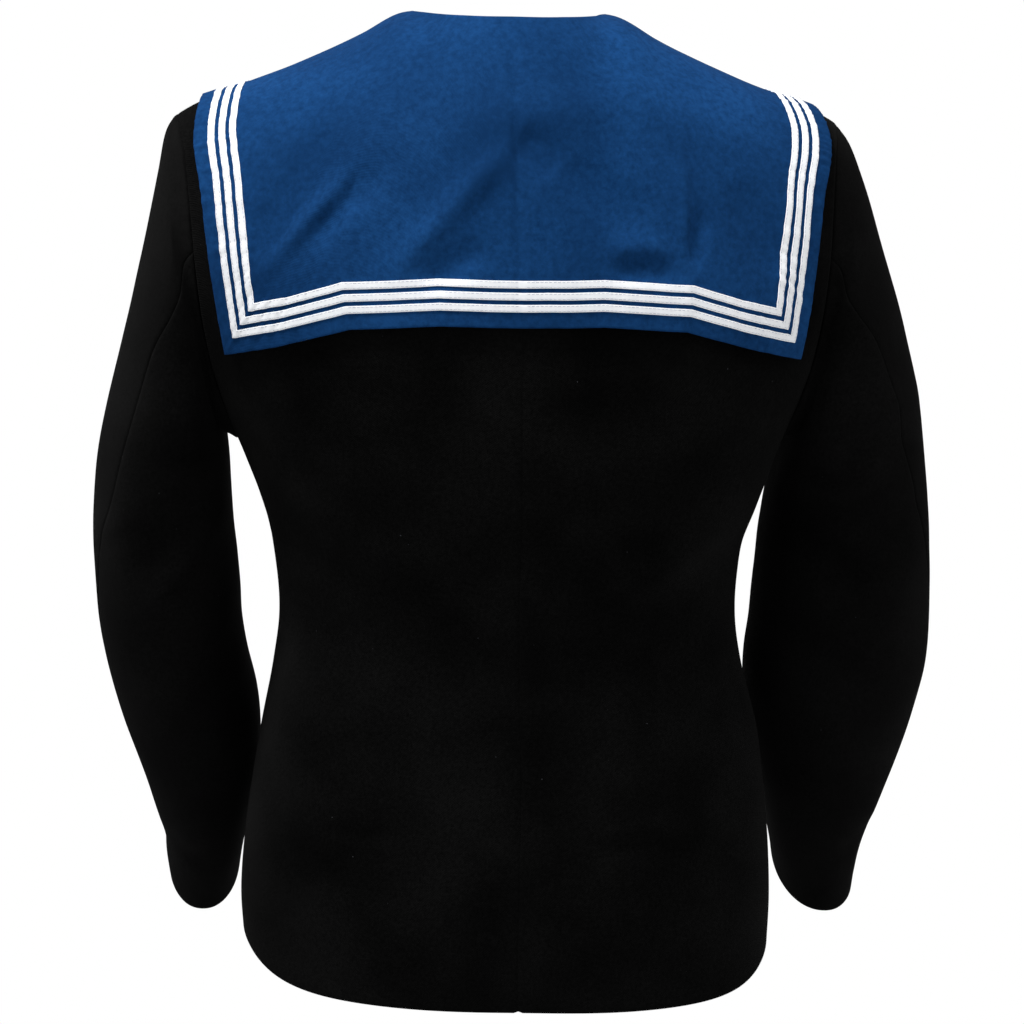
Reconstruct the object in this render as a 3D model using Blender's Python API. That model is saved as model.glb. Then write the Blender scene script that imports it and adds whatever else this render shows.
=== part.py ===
"""A sailor jumper, filled out as it is worn: a dark wool body and sleeves with a blue cotton collar.

Metres, +Z up. The wearer faces -Y, so the back is at +Y and the wearer's left is at +X. The origin lies
between the side neck points, where the shoulders hold the jumper.
"""

import math

import bmesh
import bpy
import numpy as np
from mathutils import Vector

COLLECTION = "sailor_jumper"

# Cloth
WOOL = 0.0020
COTTON = 0.0014
TAPE = 0.0008
SEAM = 0.0003

# The garment hangs a little lower on the wearer's right: the rise in z for each metre of x
LEAN = 0.02

# The body below the armpits. A row is one level ring: half its width, its depth behind and in front of
# the side seam, how square it is (2 is an ellipse), and how far it sways to the side
BODY_ROWS = [
    # z, half_width, back, front, square, sway
    (-0.627, 0.1840, 0.128, 0.120, 2.7, 0.003),
    (-0.585, 0.1847, 0.127, 0.119, 2.7, 0.003),
    (-0.545, 0.1825, 0.124, 0.117, 2.6, 0.002),
    (-0.505, 0.1775, 0.120, 0.114, 2.6, 0.001),
    (-0.465, 0.1710, 0.116, 0.111, 2.5, 0.000),
    (-0.425, 0.1615, 0.112, 0.109, 2.4, 0.001),
    (-0.385, 0.1557, 0.110, 0.108, 2.3, 0.001),
    (-0.345, 0.1580, 0.112, 0.110, 2.3, 0.001),
    (-0.305, 0.1672, 0.116, 0.114, 2.4, 0.000),
    (-0.265, 0.1800, 0.120, 0.118, 2.5, 0.000),
]
# The hem is cut a little higher at the side seams and hangs lower on the right, fading out above it
HEM_SIDE_RISE = 0.016
HEM_SIDE_POWER = 8
HEM_TILT = 0.030
HEM_FADE_HEIGHT = 0.08

# The body above the armpits, as a dome cut by the armholes. Rise runs from 0 at the armpit to 1 on the
# shoulder seam; the dome goes on beyond the armhole edge, so its half width is larger than the edge's x
DOME_ROWS = [
    # rise, dome_half_width, armhole_x
    (0.0, 0.1800, 0.1800),
    (0.1, 0.1863, 0.1840),
    (0.2, 0.2001, 0.1920),
    (0.3, 0.2133, 0.1990),
    (0.4, 0.2250, 0.2030),
    (0.5, 0.2366, 0.2050),
    (0.6, 0.2483, 0.2075),
    (0.7, 0.2580, 0.2110),
    (0.8, 0.2610, 0.2135),
    (0.9, 0.2630, 0.2150),
    (1.0, 0.2635, 0.2155),
]
DOME_SQUARE = 2.3
ARMPIT_Z = BODY_ROWS[-1][0]

# The line over the shoulder, from the middle of the neck outwards
SHOULDER_LINE = [
    # x, z
    (0.000, 0.0325),
    (0.015, 0.0320),
    (0.030, 0.0265),
    (0.055, 0.0120),
    (0.070, 0.0087),
    (0.093, -0.0040),
    (0.116, -0.0150),
    (0.168, -0.0360),
    (0.205, -0.0480),
    (0.215, -0.0540),
    (0.240, -0.0790),
    (0.270, -0.1190),
]

# Neck
NECK_HALF_WIDTH = 0.074
NECK_BACK_Z = -0.006
NECK_SIDE_Z = 0.008
COLLAR_FOLD_Z = 0.0105
COLLAR_NECK_HALF_WIDTH = 0.068
V_RISE = 0.25
V_BEND = 0.5

# Steps of the meshes
BODY_STEPS = 12
RISE_STEPS = 12
NECK_COLUMNS = 3
SHOULDER_COLUMNS = 6
BACK_SEAM_STEP = 5
FRONT_SEAM_STEP = 3
UNDER_COLUMNS = BACK_SEAM_STEP + FRONT_SEAM_STEP
TOP_COLUMNS = 2 * RISE_STEPS - UNDER_COLUMNS

# The sleeves, from the ring next to the armhole to the cuff. A row is one ring: its outermost point and
# its innermost point, how far back its middle lies, half its depth, how far it is tipped forward, and
# the angle of the back-arm seam from the outermost point
SLEEVE_LEFT = [
    # outer_x, outer_z, inner_x, inner_z, mid_y, half_depth, tip, seam
    (0.2222, -0.066, 0.1900, -0.263, -0.003, 0.059, 0, 79),
    (0.2275, -0.090, 0.1890, -0.273, -0.004, 0.063, 0, 79),
    (0.2350, -0.122, 0.1880, -0.286, -0.005, 0.065, 1, 72),
    (0.2460, -0.162, 0.1875, -0.300, -0.007, 0.066, 2, 62),
    (0.2572, -0.205, 0.1870, -0.316, -0.010, 0.066, 4, 56),
    (0.2692, -0.248, 0.1865, -0.334, -0.014, 0.065, 5, 52),
    (0.2787, -0.292, 0.1855, -0.354, -0.019, 0.064, 7, 46),
    (0.2827, -0.338, 0.1845, -0.378, -0.025, 0.063, 9, 30),
    (0.2827, -0.383, 0.1840, -0.404, -0.033, 0.062, 12, 20),
    (0.2797, -0.423, 0.1805, -0.434, -0.043, 0.061, 15, 14),
    (0.2731, -0.463, 0.1755, -0.468, -0.055, 0.060, 18, 12),
    (0.2640, -0.500, 0.1755, -0.504, -0.067, 0.059, 20, 12),
    (0.2560, -0.536, 0.1810, -0.540, -0.079, 0.057, 21, 14),
    (0.2490, -0.570, 0.1880, -0.574, -0.091, 0.055, 22, 16),
    (0.2485, -0.592, 0.1920, -0.594, -0.098, 0.054, 22, 18),
    (0.2470, -0.608, 0.1945, -0.610, -0.103, 0.054, 22, 20),
]
SLEEVE_RIGHT = [
    # outer_x, outer_z, inner_x, inner_z, mid_y, half_depth, tip, seam
    (0.2245, -0.066, 0.1900, -0.263, -0.003, 0.059, 0, 79),
    (0.2337, -0.088, 0.1880, -0.273, -0.005, 0.062, 0, 79),
    (0.2438, -0.116, 0.1850, -0.284, -0.007, 0.064, 1, 72),
    (0.2564, -0.152, 0.1820, -0.296, -0.010, 0.064, 2, 62),
    (0.2694, -0.192, 0.1795, -0.310, -0.013, 0.063, 3, 56),
    (0.2816, -0.236, 0.1775, -0.326, -0.017, 0.061, 5, 52),
    (0.2896, -0.284, 0.1755, -0.346, -0.022, 0.059, 7, 46),
    (0.2961, -0.332, 0.1745, -0.372, -0.028, 0.057, 9, 30),
    (0.3011, -0.380, 0.1740, -0.404, -0.036, 0.055, 11, 20),
    (0.3034, -0.427, 0.1725, -0.434, -0.046, 0.053, 13, 14),
    (0.2987, -0.470, 0.1755, -0.470, -0.058, 0.052, 16, 12),
    (0.2910, -0.509, 0.1830, -0.506, -0.070, 0.052, 18, 12),
    (0.2821, -0.546, 0.1915, -0.542, -0.082, 0.052, 20, 14),
    (0.2718, -0.580, 0.2000, -0.577, -0.092, 0.052, 21, 16),
    (0.2690, -0.603, 0.2055, -0.600, -0.100, 0.052, 22, 18),
    (0.2682, -0.620, 0.2085, -0.617, -0.105, 0.052, 22, 20),
]
SLEEVE_SQUARE = 2.15
FRONT_ARM_SEAM = -113
# How far a sleeve turns out of the body's surface where its wall has taken its own direction
VALLEY_TURN = 0.3

# The collar's outer edge, from the middle of its back round one side to the bottom of the V
COLLAR_EDGE = [
    # x, z, side, steps from the row above, shift towards the wearer's left
    (0.0000, -0.1720, "back", 0, 0.0000),
    (0.0500, -0.1715, "back", 3, 0.0000),
    (0.1030, -0.1752, "back", 3, 0.0015),
    (0.1480, -0.1884, "back", 2, 0.0010),
    (0.1788, -0.1965, "back", 2, 0.0014),
    (0.1907, -0.1250, "back", 3, 0.0008),
    (0.2006, -0.0750, "back", 3, -0.0009),
    (0.2016, -0.0620, "back", 2, -0.0015),
    (0.1975, -0.0460, "ridge", 2, -0.0010),
    (0.1860, -0.0880, "front", 3, 0.0000),
    (0.1320, -0.1500, "front", 3, 0.0000),
    (0.0600, -0.1920, "front", 3, 0.0000),
    (0.0100, -0.2170, "front", 2, 0.0000),
]
# The row at the flap's corner, and the rows on both sides of it that its mitre reaches
CORNER_ROW = 4
MITRE_ROWS = (2, 5)
COLLAR_LIFT = 0.0016
FLAP_LIFT = 0.0042
FLAP_TOP_Z = -0.02
FLAP_HEIGHT = 0.15
TAPE_ROWS = {"tape_outer": (0.0098, 0.0143), "tape_middle": (0.0170, 0.0215), "tape_inner": (0.0242, 0.0287)}
COLLAR_INNER_ROW = 0.0330
# Behind, the flat cloth's rows are level at this height, and from this far below the shoulder
LEVEL_Z = -0.170
LEVEL_FROM = 0.10
COLLAR_PLAIN_ROWS = 6
COLLAR_ROW_CROWDING = 1.25
COLLAR_TIP_MARGIN = 0.0015
COLLAR_TIP_GAP = 0.0024
COLLAR_ROW_GAP = 0.0005
# How far round the back of the neck the fold has come where the edge turns its corner, and how much less
# of the front's edge the collar covers at the bottom of the V
NECK_CORNER_SHARE = 0.72
V_COVER_TAPER = 0.6
TAPE_END_MARGIN = 0.0030

# The largest folds. Each is a soft trough, or a ridge where its depth is below 0, along a line across
# the cloth, seen from behind or from the front
SLEEVE_FOLDS = [
    # side, x1, z1, x2, z2, half_width, depth
    ("back", 0.190, -0.300, 0.262, -0.372, 0.014, 0.0040),
    ("back", 0.186, -0.470, 0.200, -0.400, 0.016, 0.0030),
    ("front", 0.190, -0.350, 0.270, -0.320, 0.016, 0.0045),
    ("front", 0.186, -0.400, 0.262, -0.405, 0.015, 0.0045),
    ("back", 0.250, -0.565, 0.205, -0.590, 0.014, 0.0030),
    ("back", -0.215, -0.285, -0.285, -0.265, 0.013, 0.0035),
    ("back", -0.190, -0.300, -0.285, -0.350, 0.014, 0.0045),
    ("front", -0.185, -0.360, -0.290, -0.345, 0.016, 0.0045),
    ("front", -0.190, -0.420, -0.285, -0.415, 0.015, 0.0045),
    ("back", -0.280, -0.575, -0.240, -0.590, 0.014, 0.0030),
]
BODY_FOLDS = [
    # side, x1, z1, x2, z2, half_width, depth
    ("back", 0.165, -0.300, 0.070, -0.370, 0.018, 0.0030),
    ("back", -0.165, -0.310, -0.070, -0.380, 0.018, 0.0030),
    ("back", 0.140, -0.545, 0.080, -0.540, 0.012, 0.0020),
    ("back", -0.060, -0.555, -0.130, -0.562, 0.012, 0.0020),
    ("front", 0.160, -0.300, 0.080, -0.350, 0.018, 0.0030),
    ("front", -0.160, -0.300, -0.080, -0.350, 0.018, 0.0030),
]
COLLAR_FOLDS = [
    # side, x1, z1, x2, z2, half_width, depth
    ("back", 0.001, 0.000, 0.001, -0.180, 0.010, 0.0010),
    ("back", 0.108, -0.020, 0.110, -0.190, 0.012, -0.0018),
    ("back", -0.106, -0.050, -0.104, -0.190, 0.012, -0.0018),
    ("back", 0.085, -0.070, 0.135, -0.120, 0.011, 0.0022),
    ("back", -0.010, -0.060, -0.085, -0.110, 0.014, 0.0020),
    ("back", 0.015, -0.120, 0.060, -0.140, 0.010, 0.0018),
]


def smooth(table, column, at):
    """One column of a table at a value of its first column, on a smooth curve through its rows."""
    keys = np.array([row[0] for row in table], float)
    values = np.array([row[column] for row in table], float)
    slopes = np.gradient(values, keys)
    i = int(np.clip(np.searchsorted(keys, at) - 1, 0, len(keys) - 2))
    step = keys[i + 1] - keys[i]
    t = (np.clip(at, keys[0], keys[-1]) - keys[i]) / step
    return (
        (2 * t**3 - 3 * t**2 + 1) * values[i]
        + (t**3 - 2 * t**2 + t) * step * slopes[i]
        + (3 * t**2 - 2 * t**3) * values[i + 1]
        + (t**3 - t**2) * step * slopes[i + 1]
    )


def unit(v):
    return v / max(np.linalg.norm(v), 1e-12)


def trough(folds, side, point):
    """How far the folds push this point of the cloth inwards."""
    total = 0.0
    for name, x1, z1, x2, z2, half_width, depth in folds:
        if name != side:
            continue
        along = np.array([x2 - x1, z2 - z1])
        offset = np.array([point[0] - x1, point[2] - z1])
        t = np.dot(offset, along) / np.dot(along, along)
        end = max(0.0, -t, t - 1.0) * np.linalg.norm(along) / (1.5 * half_width)
        away = np.linalg.norm(offset - np.clip(t, 0, 1) * along) / half_width
        total += depth * math.exp(-max(away, end) ** 2)
    return total


# The body's form

def rise_turn(rise):
    """The turn of the dome's quarter arc, in radians, at a rise from 0 to 1."""
    return 0.25 * math.pi * (1 - math.cos(math.pi * rise))


def rise_at(x, z):
    """The rise where the dome over this x reaches this height."""
    span = smooth(SHOULDER_LINE, 1, x) - ARMPIT_Z
    share = np.clip((z - ARMPIT_Z) / span, 0, 1)
    turn = math.asin(share ** (DOME_SQUARE / 2))
    return math.acos(np.clip(1 - turn / (0.25 * math.pi), -1, 1)) / math.pi


def dome_point(side, rise, x):
    """A point of the dome over x (0 or more), at a rise; a rise past 1 is on the other side."""
    if rise > 1:
        side, rise = ("front" if side == "back" else "back"), 2 - rise
    turn = rise_turn(max(rise, 0))
    half = smooth(DOME_ROWS, 1, rise)
    _, _, back, front, square, _ = BODY_ROWS[-1]
    depth = (back if side == "back" else front) * (1 - min(x / half, 1) ** square) ** (1 / square)
    arc = 2 / DOME_SQUARE
    z = ARMPIT_Z + (smooth(SHOULDER_LINE, 1, x) - ARMPIT_Z) * math.sin(turn) ** arc
    y = depth * max(math.cos(turn), 0) ** arc
    return np.array([x, y if side == "back" else -y, z])


def armhole_share(rise):
    """The armhole edge as an angle round the dome's row."""
    square = BODY_ROWS[-1][4]
    return math.asin(min(1, (smooth(DOME_ROWS, 2, rise) / smooth(DOME_ROWS, 1, rise)) ** (square / 2)))


def dome_x(rise, turn):
    """The x on a dome row at this angle from the middle."""
    return smooth(DOME_ROWS, 1, rise) * math.sin(turn) ** (2 / BODY_ROWS[-1][4])


def hem_fade(z):
    return max(0.0, 1 - (z - BODY_ROWS[0][0]) / HEM_FADE_HEIGHT) ** 2


def body_point(side, z, turn):
    """A point of the body below the armpits; a turn past a quarter is on the other side."""
    if turn > math.pi / 2:
        side, turn = ("front" if side == "back" else "back"), math.pi - turn
    half, back, front, square = (smooth(BODY_ROWS, i, z) for i in (1, 2, 3, 4))
    x = half * math.sin(turn) ** (2 / square)
    y = (back if side == "back" else front) * max(math.cos(turn), 0) ** (2 / square)
    z += HEM_SIDE_RISE * hem_fade(z) * math.sin(turn) ** HEM_SIDE_POWER
    return np.array([x, y if side == "back" else -y, z])


def normal_of(surface, a, b, step_a, step_b):
    """The outward normal of surface(a, b), away from the body's upright axis."""
    along_a = surface(a + step_a, b) - surface(a - step_a, b)
    along_b = surface(a, b + step_b) - surface(a, b - step_b)
    n = unit(np.cross(along_a, along_b))
    point = surface(a, b)
    out = point - np.array([0, 0, min(point[2] - 0.05, -0.1)])
    return n if np.dot(n, out) > 0 else -n


def mirrored(sign, v):
    return np.array([sign * v[0], v[1], v[2]])


def body_pair(sign, side, z, turn):
    """The outer and inner points of the body's wall at one place below the armpits."""
    point = body_point(side, z, turn)
    n = normal_of(lambda a, b: body_point(side, a, b), z, max(turn, 0.02), 0.004, 0.01)
    if turn < 0.02:
        n = unit(np.array([0.0, n[1], n[2]]))
    point = mirrored(sign, point) + np.array([smooth(BODY_ROWS, 5, z), 0, 0])
    point[2] += HEM_TILT * hem_fade(z) * point[0]
    return wall_pair(point, mirrored(sign, n), side, BODY_FOLDS, WOOL)


def dome_pair(sign, side, rise, x):
    """The outer and inner points of the body's wall at one place above the armpits."""
    point = dome_point(side, rise, x)
    return wall_pair(mirrored(sign, point), mirrored(sign, dome_normal(side, rise, x)), side, BODY_FOLDS, WOOL)


def dome_normal(side, rise, x):
    place = max(rise, 0.02)
    n = normal_of(lambda a, b: dome_point(side, a, b), place, max(x, 0.004), 0.01, 0.002)
    if x < 0.004:
        n = unit(np.array([0.0, n[1], n[2]]))
    return n


def wall_pair(point, n, side, folds, thickness):
    outer = point - n * trough(folds, side, point)
    return outer, outer - n * thickness


# Shells

def leaned(points):
    """The points with the garment's lean, which shears them in z."""
    points = np.array(points, float)
    points[..., 2] += LEAN * points[..., 0]
    return points


def material(name, colour, roughness):
    made = bpy.data.materials.new(name)
    made.use_nodes = True
    shader = made.node_tree.nodes["Principled BSDF"]
    shader.inputs["Base Color"].default_value = (*colour, 1)
    shader.inputs["Roughness"].default_value = roughness
    shader.inputs["Metallic"].default_value = 0
    return made


def add_object(name, points, faces, finish):
    mesh = bpy.data.meshes.new(name)
    mesh.from_pydata([Vector(p) for p in leaned(points)], [], faces)
    edit = bmesh.new()
    edit.from_mesh(mesh)
    bmesh.ops.recalc_face_normals(edit, faces=edit.faces)
    edit.to_mesh(mesh)
    edit.free()
    mesh.shade_smooth()
    made = bpy.data.objects.new(name, mesh)
    made.data.materials.append(finish)
    bpy.data.collections[COLLECTION].objects.link(made)
    return made


def shell(name, finish, patches):
    """A closed wall from patches of cloth. A patch is a grid of (outer, inner) pairs; pairs at the same
    place in two patches are one, and every edge that only one face has gets a rim."""
    points, index = [], {}

    def place(pair):
        key = tuple(np.round(pair[0], 7))
        if key not in index:
            index[key] = len(points) // 2
            points.extend(pair)
        return index[key]

    triangles = []
    for patch in patches:
        grid = [[place(pair) for pair in row] for row in patch]
        for low, high in zip(grid, grid[1:]):
            for a, b, c, d in zip(low, low[1:], high[1:], high):
                triangles += [t for t in ((a, b, c), (a, c, d)) if len(set(t)) == 3]
    faces, edges = [], set()
    for a, b, c in triangles:
        faces.append([2 * a, 2 * b, 2 * c])
        faces.append([2 * c + 1, 2 * b + 1, 2 * a + 1])
        edges |= {(a, b), (b, c), (c, a)}
    for a, b in edges:
        if (b, a) not in edges:
            faces += rim(points, a, b)
    return add_object(name, points, faces, finish)


def rim(points, a, b):
    """The two triangles of a wall's rim. Both pieces at a seam cut it from the upper point's outside to
    the lower point's inside, so a twisted rim leaves the same gap all along."""
    if points[2 * a][2] > points[2 * b][2]:
        return [[2 * b, 2 * a, 2 * b + 1], [2 * a, 2 * a + 1, 2 * b + 1]]
    return [[2 * b, 2 * a, 2 * a + 1], [2 * b, 2 * a + 1, 2 * b + 1]]


# Panels of the body

def seam_shift(pairs, towards, distance):
    """The pairs of one seam edge, moved square to it towards the pairs of the next column."""
    moved = []
    for k, ((outer, inner), (goal, _)) in enumerate(zip(pairs, towards)):
        seam = unit(pairs[min(k + 1, len(pairs) - 1)][0] - pairs[max(k - 1, 0)][0])
        across = goal - outer
        step = unit(across - seam * np.dot(across, seam)) * distance
        moved.append((outer + step, inner + step))
    return moved


def columns_at_shoulder():
    """Shares of the armhole angle, with one column at the side of the neck."""
    at_neck = math.asin((NECK_HALF_WIDTH / smooth(DOME_ROWS, 1, 1)) ** (BODY_ROWS[-1][4] / 2)) / armhole_share(1)
    inner = np.linspace(0, at_neck, NECK_COLUMNS + 1)
    outer = np.linspace(at_neck, 1, SHOULDER_COLUMNS + 1)
    return list(inner) + list(outer[1:])


def neck_rise(x):
    """The rise of the back neckline over x, which is 1 from the side of the neck outwards."""
    if x >= NECK_HALF_WIDTH - 1e-6:
        return 1.0
    z = NECK_BACK_Z + (NECK_SIDE_Z - NECK_BACK_Z) * (x / NECK_HALF_WIDTH) ** 2
    return rise_at(x, z)


def v_x(rise):
    """The x of the V neckline at a rise on the front."""
    return NECK_HALF_WIDTH * max(0.0, (rise - V_RISE) / (1 - V_RISE)) ** V_BEND


def lower_rows(sign, side):
    """The grid of one half panel below the armpits, from the hem up, middle to side seam."""
    heights = np.linspace(BODY_ROWS[0][0], ARMPIT_Z, BODY_STEPS + 1)
    shares = columns_at_shoulder()
    return [[body_pair(sign, side, z, share * math.pi / 2) for share in shares] for z in heights]


def upper_back_rows(sign):
    """The grid of the half back above the armpit row. Its inner columns end on the neckline."""
    shares = columns_at_shoulder()
    grid = []
    for k in range(1, RISE_STEPS + 1):
        row = []
        for share in shares:
            rise = k / RISE_STEPS
            top = neck_rise(dome_x(1, share * armhole_share(1)))
            rise *= top
            x = dome_x(rise, share * armhole_share(k / RISE_STEPS))
            if share == 1:
                x = smooth(DOME_ROWS, 2, rise)
            row.append(dome_pair(sign, "back", rise, x))
        grid.append(row)
    return grid


def upper_front_rows(sign):
    """The grid of the half front above the armpit row. Its first column follows the V."""
    shares = columns_at_shoulder()
    square = BODY_ROWS[-1][4]
    grid = []
    for k in range(1, RISE_STEPS + 1):
        rise = k / RISE_STEPS
        start = math.asin((v_x(rise) / smooth(DOME_ROWS, 1, rise)) ** (square / 2))
        row = []
        for share in shares:
            x = dome_x(rise, start + (armhole_share(rise) - start) * share)
            if share == 1:
                x = smooth(DOME_ROWS, 2, rise)
            row.append(dome_pair(sign, "front", rise, x))
        grid.append(row)
    return grid


def opened(grid, first, last):
    """The grid with its first or last column moved half a seam into the panel."""
    columns = [list(column) for column in zip(*grid)]
    if first:
        columns[0] = seam_shift(columns[0], columns[1], SEAM / 2)
    if last:
        columns[-1] = seam_shift(columns[-1], columns[-2], SEAM / 2)
    return [list(row) for row in zip(*columns)]


def half_panel(sign, side):
    upper = upper_back_rows(sign) if side == "back" else upper_front_rows(sign)
    grid = lower_rows(sign, side) + upper
    grid = opened(grid, side == "back", True)
    below = grid[-2]
    grid[-1] = seam_shift(grid[-1], below, SEAM / 2)
    return grid


def make_body(finish):
    shell("back_left", finish, [half_panel(1, "back")])
    shell("back_right", finish, [[row[::-1] for row in half_panel(-1, "back")]])
    shell("front", finish, [[row[::-1] for row in half_panel(1, "front")], half_panel(-1, "front")])


# Sleeves

def armhole_loop(sign):
    """The armhole edge's pairs from the armpit up the back to the shoulder, then down the front, and the
    step at each that leads away from the body."""
    pairs, outward = [], []
    stops = [("back", k / RISE_STEPS) for k in range(RISE_STEPS + 1)]
    stops += [("front", k / RISE_STEPS) for k in range(RISE_STEPS - 1, 0, -1)]
    for side, rise in stops:
        x = smooth(DOME_ROWS, 2, rise)
        pairs.append(dome_pair(sign, side, rise, x))
    count = len(pairs)
    centre = np.mean([outer for outer, _ in pairs], axis=0)
    for k, (outer, inner) in enumerate(pairs):
        tangent = pairs[(k + 1) % count][0] - pairs[k - 1][0]
        step = unit(np.cross(tangent, outer - inner))
        inward = centre - outer
        if np.dot(step, mirrored(sign, np.array([1.0, 0, 0])) * 0.02 + inward) < 0:
            step = -step
        outward.append(step)
    return pairs, outward


def ring_point(sign, row, angle):
    outer_x, outer_z, inner_x, inner_z, mid_y, half_depth, tip, _ = row
    angle = math.radians(angle)
    tip = math.radians(tip)
    outer = np.array([sign * outer_x, mid_y, outer_z])
    inner = np.array([sign * inner_x, mid_y, inner_z])
    across = (outer - inner) / 2
    deep = half_depth * np.array([0, math.cos(tip), -math.sin(tip)])
    c, s = math.cos(angle), math.sin(angle)
    power = 2 / SLEEVE_SQUARE
    return (outer + inner) / 2 + math.copysign(abs(c) ** power, c) * across + math.copysign(abs(s) ** power, s) * deep


def ring_angles(row):
    """Angles round a ring: the top sleeve's columns from the front seam to the back seam, then the under
    sleeve's on to the front seam again."""
    seam = row[7]
    top = np.linspace(FRONT_ARM_SEAM, seam, TOP_COLUMNS + 1)
    under = np.linspace(seam, FRONT_ARM_SEAM + 360, UNDER_COLUMNS + 1)
    return list(top) + list(under[1:-1])


def sleeve_grid(sign, rows):
    """Rings of pairs from the armhole to the cuff. Column 0 is the front seam."""
    loop, outward = armhole_loop(sign)
    count = len(loop)
    first = [(outer + step * SEAM, inner + step * SEAM) for (outer, inner), step in zip(loop, outward)]
    turned = [(count - FRONT_SEAM_STEP - k) % count for k in range(count)]
    first = [first[k] for k in turned]
    outward = [outward[k] for k in turned]
    outer = [[pair[0] for pair in first]]
    outer += [[ring_point(sign, row, angle) for angle in ring_angles(row)] for row in rows]
    outer = np.array(outer)
    around = np.roll(outer, -1, axis=1) - np.roll(outer, 1, axis=1)
    down = np.gradient(outer, axis=0)
    n = np.cross(down, around)
    n /= np.linalg.norm(n, axis=2, keepdims=True)
    middle = outer.mean(axis=1, keepdims=True)
    if np.sum(n * (outer - middle)) < 0:
        n = -n
    grid = [[own_wall(pair, normal, step) for pair, normal, step in zip(first, n[0], outward)]]
    for k in range(1, len(outer)):
        row = []
        for j in range(count):
            point = outer[k][j]
            side = "back" if point[1] > middle[k][0][1] else "front"
            facing = abs(n[k][j][1])
            moved = point - n[k][j] * trough(SLEEVE_FOLDS, side, point) * facing
            row.append((moved, moved - n[k][j] * WOOL))
        grid.append(row)
    return grid


def own_wall(pair, normal, step):
    """The pair at the armhole. Where the sleeve meets the body in a valley its wall has its own direction,
    and elsewhere it shares the body's."""
    outer, inner = pair
    valley = np.clip(-np.dot(normal, step) / VALLEY_TURN, 0, 1)
    wall = unit(unit(outer - inner) * (1 - valley) + normal * valley)
    return outer, outer - wall * WOOL


def make_sleeve(label, sign, rows, finish):
    grid = sleeve_grid(sign, rows)
    top = [row[: TOP_COLUMNS + 1] for row in grid]
    under = [row[TOP_COLUMNS:] + row[:1] for row in grid]
    shell("topsleeve_" + label, finish, [opened(top, True, True)])
    shell("undersleeve_" + label, finish, [opened(under, True, True)])


# The collar, laid out flat and then draped over the dome

def drape_table():
    """The dome from the back armpits over the shoulder to the front, with lengths along the cloth."""
    rises = np.linspace(0, 2, 81)
    xs = np.concatenate([np.linspace(0, 0.21, 43), [0.216, 0.222, 0.230]])
    points = np.array([[dome_point("back", rise, x) for x in xs] for rise in rises])
    across = np.cumsum(np.linalg.norm(np.diff(points, axis=1, prepend=points[:, :1]), axis=2), axis=1)
    along = np.cumsum(np.linalg.norm(np.diff(points, axis=0, prepend=points[:1]), axis=2), axis=0)
    along = along - along[len(rises) // 2]
    level = np.array([np.interp(rise_at(x, LEVEL_Z), rises, along[:, k]) for k, x in enumerate(xs)])
    deep = np.clip(-along / LEVEL_FROM, 0, 1)
    along = along + (level[0] - level) * deep * (3 - deep**2) / 2
    return rises, xs, across, along


def cloth_place(table, x, z, side):
    """The flat cloth's p (from the middle) and q (from the shoulder, below 0 at the back) of a place."""
    rises, xs, across, along = table
    rise = {"back": rise_at(x, z), "ridge": 1.0, "front": 2 - rise_at(x, z)}[side]
    per_row = [np.interp(x, xs, across[i]) for i in range(len(rises))]
    per_row_q = [np.interp(x, xs, along[i]) for i in range(len(rises))]
    return np.array([np.interp(rise, rises, per_row), np.interp(rise, rises, per_row_q)])


def draped(table, p, q):
    """The rise and x where the flat cloth's place comes to lie."""
    rises, xs, across, along = table
    x_per_row = [np.interp(p, across[i], xs) for i in range(len(rises))]
    q_per_row = [np.interp(x, xs, along[i]) for i, x in enumerate(x_per_row)]
    return np.interp(q, q_per_row, rises), np.interp(q, q_per_row, x_per_row)


def collar_lines(table, sign):
    """The collar's outer edge and its folded neck edge, station by station, in the flat cloth."""
    stops = []
    for x, z, side, _, shift in COLLAR_EDGE:
        stops.append(cloth_place(table, x + sign * shift, z, side))
    edge, station = [], [0]
    for k, (a, b) in enumerate(zip(stops, stops[1:])):
        steps = COLLAR_EDGE[k + 1][3]
        edge += [a + (b - a) * i / steps for i in range(steps)]
        station.append(len(edge))
        if COLLAR_EDGE[k + 1][2] == "ridge":
            ridge = len(edge)
    edge.append(stops[-1])
    corner = station[CORNER_ROW]
    fold = []
    for i in range(len(edge)):
        if i <= ridge:
            past = max(0, i - corner) / (ridge - corner)
            share = NECK_CORNER_SHARE * min(1, i / corner) + (1 - NECK_CORNER_SHARE) * past
            x = COLLAR_NECK_HALF_WIDTH * math.sin(share * math.pi / 2)
            fold.append(place_on_rise(table, x, rise_at(x, COLLAR_FOLD_Z) if i < ridge else 1.0))
        else:
            share = (i - ridge) / (len(edge) - 1 - ridge)
            rise = 1 - (1 - V_RISE) * share
            x = v_x(rise) - (NECK_HALF_WIDTH - COLLAR_NECK_HALF_WIDTH) * (1 - V_COVER_TAPER * share)
            fold.append(place_on_rise(table, max(x, COLLAR_TIP_GAP / 2), 2 - rise))
    return np.array(edge), np.array(fold), [station[MITRE_ROWS[0]], corner, station[MITRE_ROWS[1]]]


def place_on_rise(table, x, rise):
    rises, xs, across, along = table
    i = [np.interp(x, xs, across[k]) for k in range(len(rises))]
    q = [np.interp(x, xs, along[k]) for k in range(len(rises))]
    return np.array([np.interp(rise, rises, i), np.interp(rise, rises, q)])


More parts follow.
